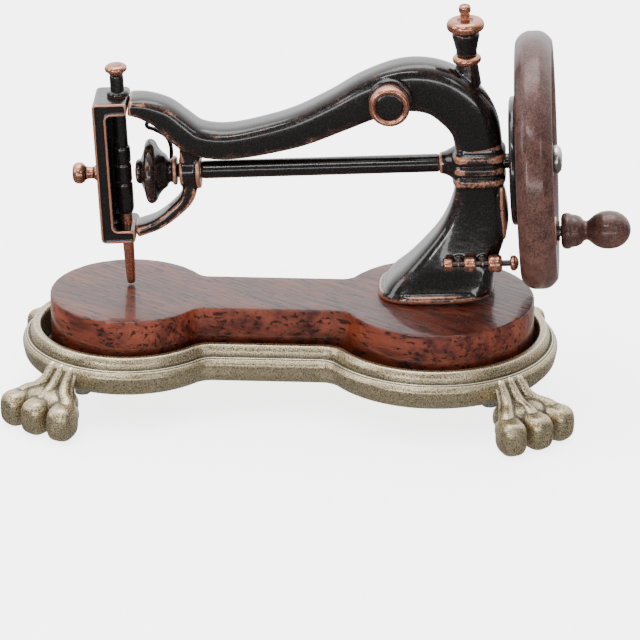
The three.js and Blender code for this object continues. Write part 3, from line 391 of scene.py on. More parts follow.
def fiddle(offset, fillet):
    """The outline moved outwards by an offset, with a fillet where each lobe meets the waist."""
    half = WAIST + offset
    side = []
    for name, way in (("right", 1), ("left", -1)):
        centre, lobe = LOBES[name]
        radius = lobe + offset
        across = math.sqrt((radius + fillet) ** 2 - (half + fillet) ** 2)
        turn = math.atan2(half + fillet, -way * across)
        start = 0 if way > 0 else math.pi
        arc = [(centre + radius * math.cos(a), radius * math.sin(a))
               for a in np.linspace(start, turn, LOBE_STEPS)]
        begin = turn + way * math.pi
        end = 1.5 * math.pi if way > 0 else -0.5 * math.pi
        middle = centre - way * across
        arc += [(middle + fillet * math.cos(a), half + fillet + fillet * math.sin(a))
                for a in np.linspace(begin, end, FILLET_STEPS)[1:]]
        side.append(arc if way > 0 else arc[::-1])
    upper = side[0] + side[1]
    lower = [(x, -y) for x, y in upper[1:-1]][::-1]
    return np.array(upper + lower)


def swept(profile, fillet, share=0.5, shift=0.0):
    """A body whose sections follow the fiddle outline: [offset, height] pairs, bottom to top."""
    rings = []
    for offset, height in profile:
        line = fiddle(offset, max(fillet - offset * share, 0.4))
        rings.append(np.column_stack([line[:, 0] + shift, line[:, 1], np.full(len(line), height)]))
    return np.array(rings)


print("points round the outline:", len(fiddle(0, 1)))

# %% Wooden block
wood_low, wood_high = span("wood_block", BASE)
WOOD_TOP = wood_high[2]
wood_shift = (wood_low[0] + wood_high[0]) / 2 - OUTLINE_MIDDLE
EDGE = 0.32  # radius of the block's edges
CHIP_DEPTH = 0.028
block_profile = rounded(
    [(-EDGE, wood_low[2]), (0, wood_low[2] + EDGE), (0, WOOD_TOP), (-6 * EDGE, WOOD_TOP)], EDGE, 6)
block_rings = swept(block_profile, 2.2, share=1.0, shift=wood_shift)
chips = np.random.default_rng(7).normal(0, 1, block_rings.shape[1])
chips = np.convolve(np.r_[chips[-2:], chips, chips[:2]], [0.2, 0.6, 1, 0.6, 0.2], "same")[2:-2]
for ring, (offset, height) in zip(block_rings, block_profile):
    near_edge = max(0, 1 - abs(height - WOOD_TOP) / 0.6) * max(0, 1 + offset / 1.2)
    ring[:, 2] -= CHIP_DEPTH * near_edge * np.maximum(chips, 0)
piece("mahogany_block", "base_and_head", BASE, skin(block_rings), "red_lacquered_wood", "wood_block")

# %% Brass tray
under = tray_low.z / MM
rim_top = tray_high.z / MM
shoulder = rim_top - 1.6
tray_profile = rounded([
    (-2.0, wood_low[2] - 0.1), (0.75, wood_low[2] - 0.1), (0.85, rim_top - 0.6), (1.15, rim_top),
    (1.95, rim_top - 0.02), (2.35, rim_top - 0.75), (2.42, shoulder + 0.12), (2.6, shoulder - 0.1),
    (2.74, shoulder + 0.2), (2.9, shoulder - 0.02), (3.05, shoulder - 0.1), (3.4, shoulder - 0.6),
    (3.42, under + 2.4), (3.15, under + 1.0), (2.2, under), (-2.0, under),
], 0.28, 5)
piece("tray_casting", "base_and_head", BASE, skin(swept(tray_profile[::-1], 4.2)),
      "antique_brass", "base_tray")

# %% [markdown]
# ## Lion-claw feet
# Each foot is a casting of its own, held to the tray by a screw. Three plump toes stand on the
# ground, and from each a tendon with a groove beside it runs up the tray's wall. They could be
# sculpted, but eggs and bars melted together give the soft, worn look of a sand casting by rule.

# %% Claw feet
FOOT_VOXEL = 0.13
FEET = {  # lobe, direction from its centre in degrees, reach of the middle toe
    "front_left": ("left", 235, 4.4), "front_right": ("right", -50, 5.0),
    "rear_left": ("left", 122, 4.4), "rear_right": ("right", 65, 5.0),
}
TRAY_WALL = 3.4  # from the lobe's edge to the tray's outer face
TOE_SPREAD = 3.75
SOLE = 0.12  # below this height, a foot is pressed flat


def claw(wall, reach):
    """A foot that points along +X from its lobe's centre."""
    parts = []
    toe_x = wall + reach
    for k in (-1, 0, 1):
        fan = k * math.radians(15)
        x, y = toe_x - abs(k) * 0.45, k * TOE_SPREAD
        parts.append(ball((x + 0.05, y, 2.2), (2.2, 1.76, 2.35), 3.1, fan))
        parts.append(ball((x - 1.9, 0.86 * y, 2.2), (1.6, 1.2, 1.5), 2.2, fan))
        parts.append(bar_along(
            [(wall - 0.5, k * 1.5, shoulder - 0.5), (wall + 0.7, k * 1.65, 5.75),
             (wall + 1.9, k * 2.25, 4.75), (x - 1.4, 0.88 * y, 4.0), (x - 0.5, y, 3.3)],
            [0.55, 0.68, 0.8, 1.1, 1.3]))
    for k in (-1.5, -0.5, 0.5, 1.5):
        parts.append(bar_along(
            [(wall - 0.4, k * 1.5, shoulder - 0.9), (wall + 0.75, k * 1.65, 5.2),
             (wall + 2.0, k * 2.3, 4.1)], [0.26, 0.3, 0.3], facets=12))
    parts.append(ball((wall + 1.8, 0, 3.2), (2.7, 3.7, 2.0), 2.6))
    parts.append(ball((wall + 0.1, 0, 4.7), (0.9, 2.4, 1.6), 2.4))
    return parts


def flatten_sole(mesh):
    """A worn flat sole: nothing is lower than the ground."""
    at = points_of(mesh)
    low = at[:, 2] < SOLE
    at[low, 2] = SOLE * np.exp((at[low, 2] - SOLE) / SOLE)
    mesh.vertices.foreach_set("co", at.ravel())


for name, (lobe, degrees, reach) in FEET.items():
    centre, radius = LOBES[lobe]
    foot_mesh = melted(claw(radius + TRAY_WALL, reach), FOOT_VOXEL, relax=2)
    flatten_sole(foot_mesh)
    turn = Matrix.Rotation(math.radians(degrees), 4, "Z")
    foot_mesh.transform(Matrix.Translation((centre, 0, 0)) @ turn)
    piece("claw_foot_" + name + "_casting", "base_and_head", BASE, foot_mesh, "antique_brass",
          "claw_foot_" + name)

# %% [markdown]
# ## Column and arm
# The column flares into a flat foot and carries three rings near its top; the arm rises from it,
# humps over and runs down to the needle end. Both are lofted: a smooth line through stations,
# with a squarish section at each. Castings have no sharp inner corners, so every join between
# bodies is melted into a fillet.

# %% Lofted castings
def section(thick, deep, squareness, facets):
    """Points round a squarish section."""
    a = (np.arange(facets) + 0.5) * 2 * math.pi / facets
    c, s = np.cos(a), np.sin(a)
    size = (np.abs(c) ** squareness + np.abs(s) ** squareness) ** (-1 / squareness)
    return c * size * thick, s * size * deep


def lofted(stations, steps=7, facets=72, upright=False, squareness=3.6, swell=lambda z: 0.0):
    """A body through stations of x, z, half thickness and half depth in the head's x-z plane."""
    rows = smooth_rows(stations, steps)
    way = np.gradient(rows[:, :2], axis=0)
    way /= np.linalg.norm(way, axis=1)[:, None]
    rings = []
    for (x, z, thick, deep), (wx, wz) in zip(rows, way):
        if upright:
            wx, wz = 0.0, 1.0
        across, out = section(thick + swell(z), deep + swell(z), squareness, facets)
        rings.append(np.stack([x - wz * across, out, z + wx * across], -1))
    return skin(rings)


NECK = (3.0, 2.7)  # half thickness and half depth where the arm meets the column
ring_low, ring_high = SHAFT_Z - 2.7, SHAFT_Z + 2.0


def ring_swell(z):
    """Three rounded rings round the column's top."""
    share = (z - ring_low) / (ring_high - ring_low)
    return 0.42 * abs(math.sin(share * 3 * math.pi)) ** 0.7 if 0 < share < 1 else 0.0


TOP_Z = SHAFT_Z + 2.2
column_stations = [
    (-0.1, 1.2, 7.1, 5.15), (0.3, 0.11 * TOP_Z, 6.85, 4.85), (0.85, 0.16 * TOP_Z, 6.5, 4.45),
    (1.9, 0.23 * TOP_Z, 5.85, 3.9), (3.4, 0.34 * TOP_Z, 5.15, 3.4), (4.9, 0.47 * TOP_Z, 4.45, 3.05),
    (5.6, 0.6 * TOP_Z, 3.75, 2.85), (5.8, 0.73 * TOP_Z, 3.15, 2.75), (5.9, 0.86 * TOP_Z, *NECK),
    (6.0, TOP_Z, *NECK), (6.0, TOP_Z + 1.2, 2.6, 2.3),
]
CAST_VOXEL = 0.15
flange = lofted([(-0.3, 0.42, 7.55, 5.55), (-0.3, 0.9, 7.6, 5.6), (-0.25, 1.45, 7.35, 5.4)],
                steps=5, upright=True, squareness=3.0)
column_body = lofted(column_stations, steps=16, upright=True, squareness=4.2, swell=ring_swell)
rear_boss = turned([(4, 0), (4, 2.3), (9.15, 2.3), (9.15, 0)], "x", AXLE, corner=0.5)
front_boss = turned([(0.8, 0), (0.8, 1.35), (1.6, 1.55), (3.1, 2.35), (5, 2.5), (5, 0)], "x", AXLE)
_, WINDER_Y, WINDER_Z = centre_of("winder_spindle")
lugs = [bar_along([(x, WINDER_Y - 0.05, WINDER_Z), (x, WINDER_Y + 1.2, WINDER_Z),
                   (x, WINDER_Y + 3.2, WINDER_Z - 0.2)], [0.42, 0.5, 0.9]) for x in (2.9, 6.0)]
fin = bar_along([(8.75, -2.3, 8.2), (8.75, -2.45, 9.4), (8.7, -2.5, 12.3), (8.75, -2.4, 15.0)],
                [0.3, 0.45, 0.45, 0.4])
column_mesh = melted([flange, column_body, rear_boss, front_boss, fin, *lugs], CAST_VOXEL)
piece("column_cast", "base_and_head", HEAD, column_mesh, "blackened_casting",
      "column_casting", wear=1.2)

# %% Arm
frame_low, frame_high = span("face_frame")
arm_line = [
    (frame_high[0] + 0.05, 9.5, 1.15, 2.5), (-36.6, 9.1, 1.5, 2.5), (-34.3, 8.0, 1.85, 2.5),
    (-32.5, 6.3, 2.05, 2.55), (-30.6, 4.7, 2.1, 2.6), (-28.2, 4.0, 2.1, 2.6),
    (-25.3, 3.95, 2.12, 2.6), (-21.7, 4.5, 2.2, 2.6), (-16.8, 5.7, 2.35, 2.65),
    (-11.7, 7.8, 2.6, 2.7), (-7.3, 9.8, 3.0, 2.75), (-2.7, 10.95, 3.3, 2.8), (1.2, 10.25, 3.4, 2.8),
    (4.0, 7.9, 3.35, 2.75), (5.5, 5.3, 3.15, 2.7), (6.0, 2.2, *NECK),
]
arm_stations = [(x, SHAFT_Z + up, thick, deep) for x, up, thick, deep in arm_line]
collar_low, collar_high = -32.7, -29.9
collar = turned([(collar_low, 0), (collar_low, 2.05), (collar_high - 0.75, 2.05),
                 (collar_high - 0.6, 2.4), (collar_high - 0.05, 2.4), (collar_high, 0)],
                "x", AXLE, corner=0.2)
neck_block = ball(((collar_low + collar_high) / 2, 0, SHAFT_Z + 2.6), (1.25, 1.7, 2.6), 5)
harp_line = [
    (-31.3, -1.2, 1.0, 1.6), (-31.9, -3.5, 0.95, 1.6), (-33.6, -5.3, 0.9, 1.7),
    (-35.9, -6.9, 0.85, 1.9), (frame_high[0] + 0.05, -7.85, 0.8, 2.2),
]
harp = lofted([(x, SHAFT_Z + up, thick, deep) for x, up, thick, deep in harp_line], squareness=3.2)
POST_X = centre_of("tension_stud")[0]
POST = (POST_X, 0, 0)
DIAL = (1, 0, 1) * centre_of("side_knob")
LUG_TOP = span("arm_casting")[1][2]
post_lug = turned([(LUG_TOP - 3.6, 0), (LUG_TOP - 3.6, 1.75), (LUG_TOP, 1.3), (LUG_TOP, 0)], "z",
                  POST)
dial_boss = turned([(1, 0), (1, 2.7), (2.75, 2.5), (2.95, 0)], "front", DIAL)
arm_body = lofted(arm_stations, squareness=3.4)
arm_mesh = melted([arm_body, collar, neck_block, harp, post_lug, dial_boss], CAST_VOXEL)
piece("arm_cast", "base_and_head", HEAD, arm_mesh, "blackened_casting", "arm_casting", wear=1.25)

# %% [markdown]
# ## Face frame
# An open C holds the needle bar. Its front has a raised bead all round a sunk panel, so copper
# shows as a line along both edges. It is made as rings that step inwards from one outline: round
# the edge, over the bead and down to the panel.

# %% Face frame
left, right = frame_low[0], frame_high[0]
low, high = frame_low[2], frame_high[2]
half_depth = (frame_high[1] - frame_low[1]) / 2
LEG = 1.75
corners = [
    (left, low), (right, low), (right, low + LEG), (left + LEG, low + LEG), (left + LEG, high - LEG),
    (right, high - LEG), (right, high), (left, high),
]
outline = rounded(corners, 0.75, 6, closed=True)
outline = np.array([
    (1 - t) * a + t * b for a, b in zip(outline, np.roll(outline, -1, 0)) for t in (0, 0.5)
])


def inset(line, distance):
    """The outline moved inwards, each point along the bisector of its neighbours' normals."""
    ahead = np.roll(line, -1, 0) - np.roll(line, 1, 0)
    ahead /= np.linalg.norm(ahead, axis=1)[:, None] + 1e-9
    return line + distance * np.column_stack([-ahead[:, 1], ahead[:, 0]])


# Each step is a distance inwards from the outline and a depth behind the front or back face.
bead = [(0.22, 0.0), (0.08, 0.06), (0.0, 0.2), (0.0, 0.45)]
face_steps = [(0.56, 0.17), (0.5, 0.17), (0.42, 0.12), (0.36, 0.03)] + bead
front = [(d, -half_depth + y) for d, y in face_steps]
back = [(d, half_depth - y) for d, y in bead[::-1]]
face_rings = [np.column_stack([line[:, 0], np.full(len(line), y), line[:, 1]])
              for line, y in ((inset(outline, d), y) for d, y in front + back)]
piece("face_frame_cast", "base_and_head", HEAD, skin(face_rings), "blackened_casting",
      "face_frame", wear=2.2)
frame_middle = (low + high) / 2
# A dark strip behind the opening beside the left leg: partly a backing seen behind the needle bar, partly a dark
# blocker put there so the inside of the left leg stays in shade.
backing_shade_strip = ball((left + 2.2, half_depth - 1.05, frame_middle), (0.8, 0.8, (high - low) / 2 - 1.2),
                  squareness=9, facets=56)
piece("face_frame_backing_shade_strip", "base_and_head", HEAD, backing_shade_strip, "blackened_casting", "face_frame")

# %% [markdown]
# ## Geometry Nodes for what repeats or follows a path
# A tree is a recipe with named inputs. `recipe` makes an empty one; each tree below adds its own
# nodes. `cooked` runs a tree on an object, turns the result into a plain mesh and takes the
# modifier away, because the finished piece has to be a mesh that needs no modifier.

# %% Geometry Nodes helpers
KINDS = {
    "Geometry": "NodeSocketGeometry", "Count": "NodeSocketInt", "Finish": "NodeSocketMaterial",
}


def recipe(name, *inputs):
    """A new tree with named inputs, and its input and output nodes."""
    tree = bpy.data.node_groups.new(name, "GeometryNodeTree")
    for label in inputs:
        kind = KINDS.get(label, "NodeSocketFloat")
        tree.interface.new_socket(label, in_out="INPUT", socket_type=kind)
    tree.interface.new_socket("Geometry", in_out="OUTPUT", socket_type="NodeSocketGeometry")
    return tree, tree.nodes.new("NodeGroupInput").outputs, tree.nodes.new("NodeGroupOutput")


def add_node(tree, kind, settings=None, **sockets):
    """One node: its settings first, then the values or links of its sockets."""
    made = tree.nodes.new(kind)
    for key, value in (settings or {}).items():
        setattr(made, key, value)
    for label, value in sockets.items():
        socket = made.inputs[label.replace("_", " ")]
        if isinstance(value, bpy.types.NodeSocket):
            tree.links.new(value, socket)
        else:
            socket.default_value = value
    return made


def finish_tree(tree, geometry, finish, output):
    """Every tree ends in real meshes with one finish."""
    real = add_node(tree, "GeometryNodeRealizeInstances", Geometry=geometry).outputs[0]
    painted = add_node(tree, "GeometryNodeSetMaterial", Geometry=real, Material=finish)
    tree.links.new(painted.outputs[0], output.inputs[0])


def cooked(start, tree, **inputs):
    """The mesh that a tree makes from a starting mesh or curve."""
    thing = in_scene(tree.name, start)
    modifier = thing.modifiers.new(tree.name, "NODES")
    modifier.node_group = tree
    for item in tree.interface.items_tree:
        if item.in_out == "INPUT" and item.name in inputs:
            modifier[item.identifier] = inputs[item.name]
    result = evaluated_mesh(thing)
    bpy.data.objects.remove(thing)
    return result


print("kinds of tree input:", sorted(KINDS))

# %% [markdown]
# ## Hand wheel
# A hand wheel this small is cast in one piece: a heavy rim, a thin web with long rounded slots
# and a hub. The slots are one cutter repeated round the axle by Geometry Nodes; the one that
# would meet the crank's boss is left out. Rim and web are made apart, because the rim is turned
# smooth and the web keeps the softness of its mould.

# %% Slot cutters
wheel_low, wheel_high = span("hand_wheel")
WHEEL_R = (wheel_high[1] - wheel_low[1]) / 2
RIM_IN = WHEEL_R - 3.1
WEB_LEFT, WEB_RIGHT, HUB_FACE = 12.925, 14.525, wheel_high[0] - 0.725
HUB_R = 6.5
SLOTS = 16
CRANK_Z = centre_of("crank_grip")[2]
PIN = (0, 0, CRANK_Z)
WHEEL_VOXEL = 0.13

tree, given, output = recipe("slots_round_the_axle", "Geometry", "Count", "Finish")
turn_step = add_node(tree, "ShaderNodeMath", {"operation": "DIVIDE"})
turn_step.inputs[0].default_value = 2 * math.pi
tree.links.new(given["Count"], turn_step.inputs[1])
spokes = add_node(tree, "GeometryNodeMeshLine", Count=given["Count"])
spokes.inputs["Offset"].default_value = (0, 0, 0)
number = add_node(tree, "GeometryNodeInputIndex").outputs[0]
turn_by = add_node(tree, "ShaderNodeMath", {"operation": "MULTIPLY"})
tree.links.new(number, turn_by.inputs[0])
tree.links.new(turn_step.outputs[0], turn_by.inputs[1])
facing = add_node(tree, "ShaderNodeCombineXYZ", X=turn_by.outputs[0])
first = add_node(tree, "FunctionNodeCompare", {"data_type": "INT", "operation": "GREATER_THAN"})
tree.links.new(number, first.inputs["A"])
spread = add_node(tree, "GeometryNodeInstanceOnPoints", Points=spokes.outputs["Mesh"],
                  Selection=first.outputs[0], Instance=given["Geometry"],
                  Rotation=facing.outputs[0])
finish_tree(tree, spread.outputs[0], given["Finish"], output)


def slot_cutter(narrow=(8.25, 0.78), wide=(12.0, 1.3), reach=2.5, steps=14):
    """A tapered slot with round ends that points straight down from the axle."""
    line = []
    for (radius, size), start in ((narrow, 0), (wide, math.pi)):
        line += [(size * math.cos(start + a), -radius + size * math.sin(start + a))
                 for a in np.linspace(0, math.pi, steps)]
    line = np.array(line)
    middle = (WEB_LEFT + WEB_RIGHT) / 2
    return skin([np.column_stack([np.full(len(line), middle + x), line[:, 0], line[:, 1]])
                 for x in (-reach, reach)])


cut_mesh = cooked(closed_mesh(*slot_cutter()), tree, Count=SLOTS)
cut_mesh.transform(Matrix.Translation(AXLE))
cutters = in_scene("slot_cutters", cut_mesh)
print("cutter faces:", len(cut_mesh.polygons))

# %% Wheel
web = turned([(WEB_LEFT - 0.45, 0), (WEB_LEFT - 0.45, HUB_R - 0.6), (WEB_LEFT, HUB_R + 0.5),
              (WEB_LEFT, RIM_IN + 0.6), (WEB_RIGHT, RIM_IN + 0.6), (WEB_RIGHT, HUB_R + 0.5),
              (HUB_FACE, HUB_R - 0.4), (HUB_FACE, 3.2), (HUB_FACE - 0.25, 2.9), (HUB_FACE - 0.25, 0)],
             "x", AXLE, facets=96)
pin_boss = turned([(WEB_LEFT - 0.9, 0), (WEB_LEFT - 0.9, 1.5), (WEB_LEFT, 1.95),
                   (wheel_high[0] - 0.1, 1.85), (wheel_high[0] - 0.1, 0)], "x", PIN)
web_mesh = melted([web], WHEEL_VOXEL, cutter=cutters)
boss_mesh = melted([pin_boss], WHEEL_VOXEL)
piece("hand_wheel_web", "drive_shaft", HEAD, joined(web_mesh, boss_mesh), "blackened_casting",
      "hand_wheel")
rim_left, rim_right = wheel_low[0], wheel_high[0]
rim_profile = [
    (rim_left, RIM_IN + 0.9), (rim_left, WHEEL_R - 1.15), (rim_left + 1.2, WHEEL_R),
    (rim_right - 1.2, WHEEL_R), (rim_right, WHEEL_R - 1.15), (rim_right, RIM_IN + 1.3),
    (rim_right - 0.6, RIM_IN + 0.15), (WEB_RIGHT, RIM_IN), (WEB_LEFT, RIM_IN),
    (rim_left + 0.5, RIM_IN + 0.1),
]
rim = turned(rim_profile, "x", AXLE, facets=192, corner=0.75, steps=6, ring=True)
piece("hand_wheel_rim", "drive_shaft", HEAD, rim, "mottled_copper", "hand_wheel")

# %% [markdown]
# ## Turned pieces
# The shaft and the disc, the knobs, the post, the needle bar, the grip and the bobbin winder's
# beads are the kind of work that a lathe does. Modelling each by hand would take long, so each is
# a profile here: pairs of a place along the axis and a radius there.

# %% Turned pieces
NEEDLE = (-40.05, 0, 0)
TURNED = {  # name: (body, slot, node, axis, place, profile)
    "drive_shaft_rod": ("drive_shaft", "blackened_casting", "main_shaft", "x", AXLE, [
        (-38.5, 0), (-38.5, 0.72), (-33.0, 0.72), (-32.9, 0.98), (-29.85, 0.98), (-29.75, 1.18),
        (0.7, 1.18), (0.8, 0.98), (13.5, 0.98), (13.5, 0)]),
    "drive_disc_turning": ("drive_shaft", "blackened_casting", "drive_disc", "x", AXLE, [
        (-38.4, 0), (-38.4, 1.3), (-38.1, 1.6), (-37.7, 1.6), (-37.5, 2.2), (-37.15, 3.1),
        (-37.05, 3.8), (-36.7, 4.2), (-36.2, 4.2), (-35.75, 3.85), (-35.45, 3.1), (-34.9, 2.45),
        (-34.35, 2.1), (-34.1, 1.5), (-33.7, 1.5), (-33.5, 1.9), (-33.1, 1.9), (-33.0, 1.5),
        (-33.0, 0)]),
    "hub_plate_turning": ("drive_shaft", "blackened_casting", "hub_plate", "x", AXLE, [
        (9.9, 0), (9.9, 7.7), (10.1, 8.3), (10.9, 8.3), (10.9, 0)]),
    "wheel_washer_turning": ("drive_shaft", "nickel_screw", "wheel_washer", "x", AXLE, [
        (15.02, 0), (15.02, 2.25), (15.3, 2.25), (15.42, 2.1), (15.42, 0)]),
    "crank_grip_turning": ("crank_handle", "mottled_copper", "crank_grip", "x", PIN, [
        (16.1, 0), (16.1, 1.7), (16.25, 2.15), (16.6, 2.35), (17.15, 2.35), (17.5, 2.12),
        (18.2, 2.05), (18.75, 1.75), (19.05, 1.3), (19.5, 1.22), (19.85, 1.5), (20.5, 2.05),
        (21.4, 2.42), (22.3, 2.5), (23.3, 2.36), (24.2, 1.9), (24.8, 1.2), (25.08, 0.45),
        (25.1, 0)]),
    "side_dial_ring": ("base_and_head", "blackened_casting", "side_knob_ring", "front", DIAL, [
        (2.9, 0), (2.9, 2.75), (3.15, 2.85), (3.5, 2.8), (3.7, 2.6), (3.7, 0)]),
    "side_dial_knob": ("side_dial", "worn_copper", "side_knob", "front", DIAL, [
        (3.85, 0), (3.85, 2.3), (4.1, 2.5), (5.3, 2.65), (5.9, 2.62), (6.2, 2.35), (6.2, 2.05),
        (5.95, 1.8), (5.5, 1.72), (5.5, 0)]),
    "side_dial_dish": ("side_dial", "blackened_casting", "side_knob", "front", DIAL, [
        (5.2, 0), (5.2, 1.85), (5.72, 1.85), (5.78, 0.9), (5.78, 0)]),
    "post_flange": ("base_and_head", "worn_copper", "tension_flange", "z", POST, [
        (31.45, 0), (31.45, 1.45), (31.8, 1.82), (32.2, 1.85), (32.5, 1.6), (32.6, 1.3),
        (32.6, 0)]),
    "post_barrel": ("base_and_head", "blackened_casting", "tension_barrel", "z", POST, [
        (32.65, 0), (32.65, 1.35), (33.2, 1.3), (33.7, 1.42), (34.1, 1.5), (34.7, 1.62),
        (35.1, 1.75), (35.6, 1.75), (35.85, 1.5), (35.85, 0)]),
    "thumb_nut_turning": ("tension_nut", "worn_copper", "thumb_nut", "z", POST, [
        (35.9, 0), (35.9, 1.6), (36.0, 2.1), (36.3, 2.4), (36.85, 2.43), (37.25, 2.2),
        (37.45, 1.7), (37.4, 1.2), (37.2, 0.9), (37.2, 0)]),
    "upper_guide_turning": ("base_and_head", "blackened_casting", "upper_guide_bush", "z", NEEDLE, [
        (26.8, 0), (26.8, 1.15), (28.5, 1.15), (28.52, 1.44), (28.95, 1.44), (29.25, 1.2),
        (29.25, 0)]),
    "needle_bar_rod": ("needle_assembly", "blackened_casting", "needle_bar", "z", NEEDLE, [
        (13.85, 0), (13.85, 0.9), (31.4, 0.9), (31.4, 0)]),
    "needle_sleeve": ("needle_assembly", "blackened_casting", "needle_clamp", "z", NEEDLE, [
        (12.2, 0), (12.2, 0.85), (12.9, 1.1), (16.3, 1.12), (16.45, 0.98), (16.6, 0.98),
        (16.75, 1.12), (19.0, 1.12), (19.15, 0.98), (19.3, 0.98), (19.45, 1.12), (21.3, 1.12),
        (21.6, 0.95), (21.6, 0)]),
    "needle_shank": ("needle_assembly", "worn_copper", "needle", "z", NEEDLE, [
        (2.3, 0), (2.32, 0.4), (2.6, 0.56), (5.0, 0.66), (9.0, 0.76), (13.75, 0.8), (13.75, 0)]),
    "needle_button": ("needle_assembly", "worn_copper", "needle_bar_button", "z", NEEDLE, [
        (31.45, 0), (31.45, 0.95), (31.75, 1.05), (31.95, 1.42), (32.3, 1.46), (32.65, 1.25),
        (32.8, 0.6), (32.8, 0)]),
    "pressure_screw_turning": ("presser_screw", "worn_copper", "pressure_screw", "x", AXLE, [
        (-46.6, 0), (-46.6, 0.85), (-46.4, 1.2), (-46.0, 1.4), (-45.5, 1.4), (-45.1, 1.2),
        (-44.9, 0.85), (-44.2, 0.75), (-43.8, 0.8), (-43.6, 1.05), (-43.3, 1.05), (-43.25, 0.75),
        (-41.55, 0.75), (-41.55, 0)]),
}
WINDER = (0, WINDER_Y, WINDER_Z)
WINDER_BEADS = {
    "winder_spindle": [(0.7, 0), (0.7, 0.3), (0.85, 0.4), (10.5, 0.4), (10.65, 0.3), (10.65, 0)],
    "winder_collar": [(1.0, 0), (1.0, 0.7), (1.25, 0.83), (1.95, 0.83), (2.2, 0.7), (2.2, 0)],
    "winder_bobbin": [(3.6, 0), (3.6, 0.75), (3.85, 0.97), (4.4, 0.93), (4.95, 0.97),
                      (5.2, 0.75), (5.2, 0)],
    "winder_pulley": [(6.7, 0), (6.7, 0.9), (7.0, 1.17), (7.6, 1.12), (8.2, 1.17), (8.5, 0.9),
                      (8.5, 0)],
    "winder_tyre": [(9.5, 0), (9.5, 0.7), (9.75, 1.02), (10.2, 1.02), (10.6, 0.55), (10.6, 0)],
}
for name, profile in WINDER_BEADS.items():
    slot_name = "blackened_casting" if name == "winder_spindle" else "worn_copper"
    TURNED[name + "_turning"] = ("bobbin_winder", slot_name, name, "x", WINDER, profile)
THIN_WEAR = 0.32  # a thin black piece shows copper all over with more
BLACK_WEAR = {"drive_disc_turning": 0.62, "side_dial_ring": 0.6, "upper_guide_turning": 0.6}
for name, (body, slot_name, node, axis, place, profile) in TURNED.items():
    wide = max(radius for _, radius in profile)
    facets = 48 if wide < 1.5 else 96
    wear = BLACK_WEAR.get(name, THIN_WEAR) if slot_name == "blackened_casting" else 1.0
    piece(name, body, HEAD, turned(profile, axis, place, facets=facets, corner=0.3), slot_name, node,
          wear=wear)

# %% [markdown]
# ## Screws
# The stud on top has one saw cut, and the screw in the wheel's hub has a cross. Bump could only
# shade them, so a recess is cut with an exact boolean. Melting it then leaves the burnished,
# slightly rounded edges of a screw that has been turned often.

# %% Slotted stud and cross-head screw
def block_between(low, high):
    """A box as a body, for cutting."""
    (x0, y0, z0), (x1, y1, z1) = low, high
    return skin([np.array([(x0, y0, z), (x1, y0, z), (x1, y1, z), (x0, y1, z)], float)
                 for z in (z0, z1)])


STUD_VOXEL, SCREW_VOXEL = 0.055, 0.07
SAW = 0.13  # half width of the saw cut
stud_top = span("tension_stud")[1][2]
stud = turned([(28.4, 0), (28.4, 0.75), (37.6, 0.62), (38.3, 0.62), (38.5, 0.78),
               (stud_top - 0.25, 0.78), (stud_top, 0.5), (stud_top, 0)],
              "z", POST, facets=48, corner=0.2)
slit = block_between((POST_X - 2, -SAW, stud_top - 0.4), (POST_X + 2, SAW, stud_top + 1))
saw_cut = in_scene("saw_cut", closed_mesh(*slit))
stud_mesh = melted([stud], STUD_VOXEL, relax=1, cutter=saw_cut)
piece("post_stud", "base_and_head", HEAD, stud_mesh, "worn_copper", "tension_stud")

face = span("wheel_screw")[1][0]
screw = turned([(9.6, 0), (9.6, 0.7), (face - 1.15, 0.7), (face - 1.15, 1.6), (face - 1.0, 1.85),
                (face - 0.5, 1.82), (face - 0.15, 1.45), (face, 0.8), (face, 0)],
               "x", AXLE, facets=64, corner=0.15)
ARM, HALF = 1.15, 0.2  # reach and half width of the cross
plus = [(ARM, -HALF), (ARM, HALF), (HALF, HALF), (HALF, ARM), (-HALF, ARM), (-HALF, HALF),
        (-ARM, HALF), (-ARM, -HALF), (-HALF, -HALF), (-HALF, -ARM), (HALF, -ARM), (HALF, -HALF)]
cross = skin([[(x, y, SHAFT_Z + z) for y, z in plus] for x in (face - 0.5, face + 1)])
cross_recess = in_scene("cross_recess", closed_mesh(*cross))
screw_mesh = melted([screw], SCREW_VOXEL, relax=1, cutter=cross_recess)
piece("wheel_hub_screw", "drive_shaft", HEAD, screw_mesh, "nickel_screw", "wheel_screw")

# %% [markdown]
# ## Thread hook
# A bent wire takes the thread past the drive disc. It follows a path, so Geometry Nodes sweep a
# small circle along a curve, and the wire's thickness is an input of the tree. A small ball
# closes its lower end.

# %% Thread hook
tree, given, output = recipe("swept_wire", "Geometry", "Thickness", "Finish")
smooth = add_node(tree, "GeometryNodeCurveSplineType", {"spline_type": "BEZIER"},
                  Curve=given["Geometry"])
auto = add_node(tree, "GeometryNodeCurveSetHandles", {"handle_type": "AUTO"},
                Curve=smooth.outputs[0])
fine = add_node(tree, "GeometryNodeResampleCurve", Curve=auto.outputs[0], Count=60)
round_wire = add_node(tree, "GeometryNodeCurvePrimitiveCircle", Resolution=16,
                      Radius=given["Thickness"])
tube = add_node(tree, "GeometryNodeCurveToMesh", Curve=fine.outputs[0],
                Profile_Curve=round_wire.outputs[0])
tube.inputs["Fill Caps"].default_value = True
finish_tree(tree, tube.outputs[0], given["Finish"], output)

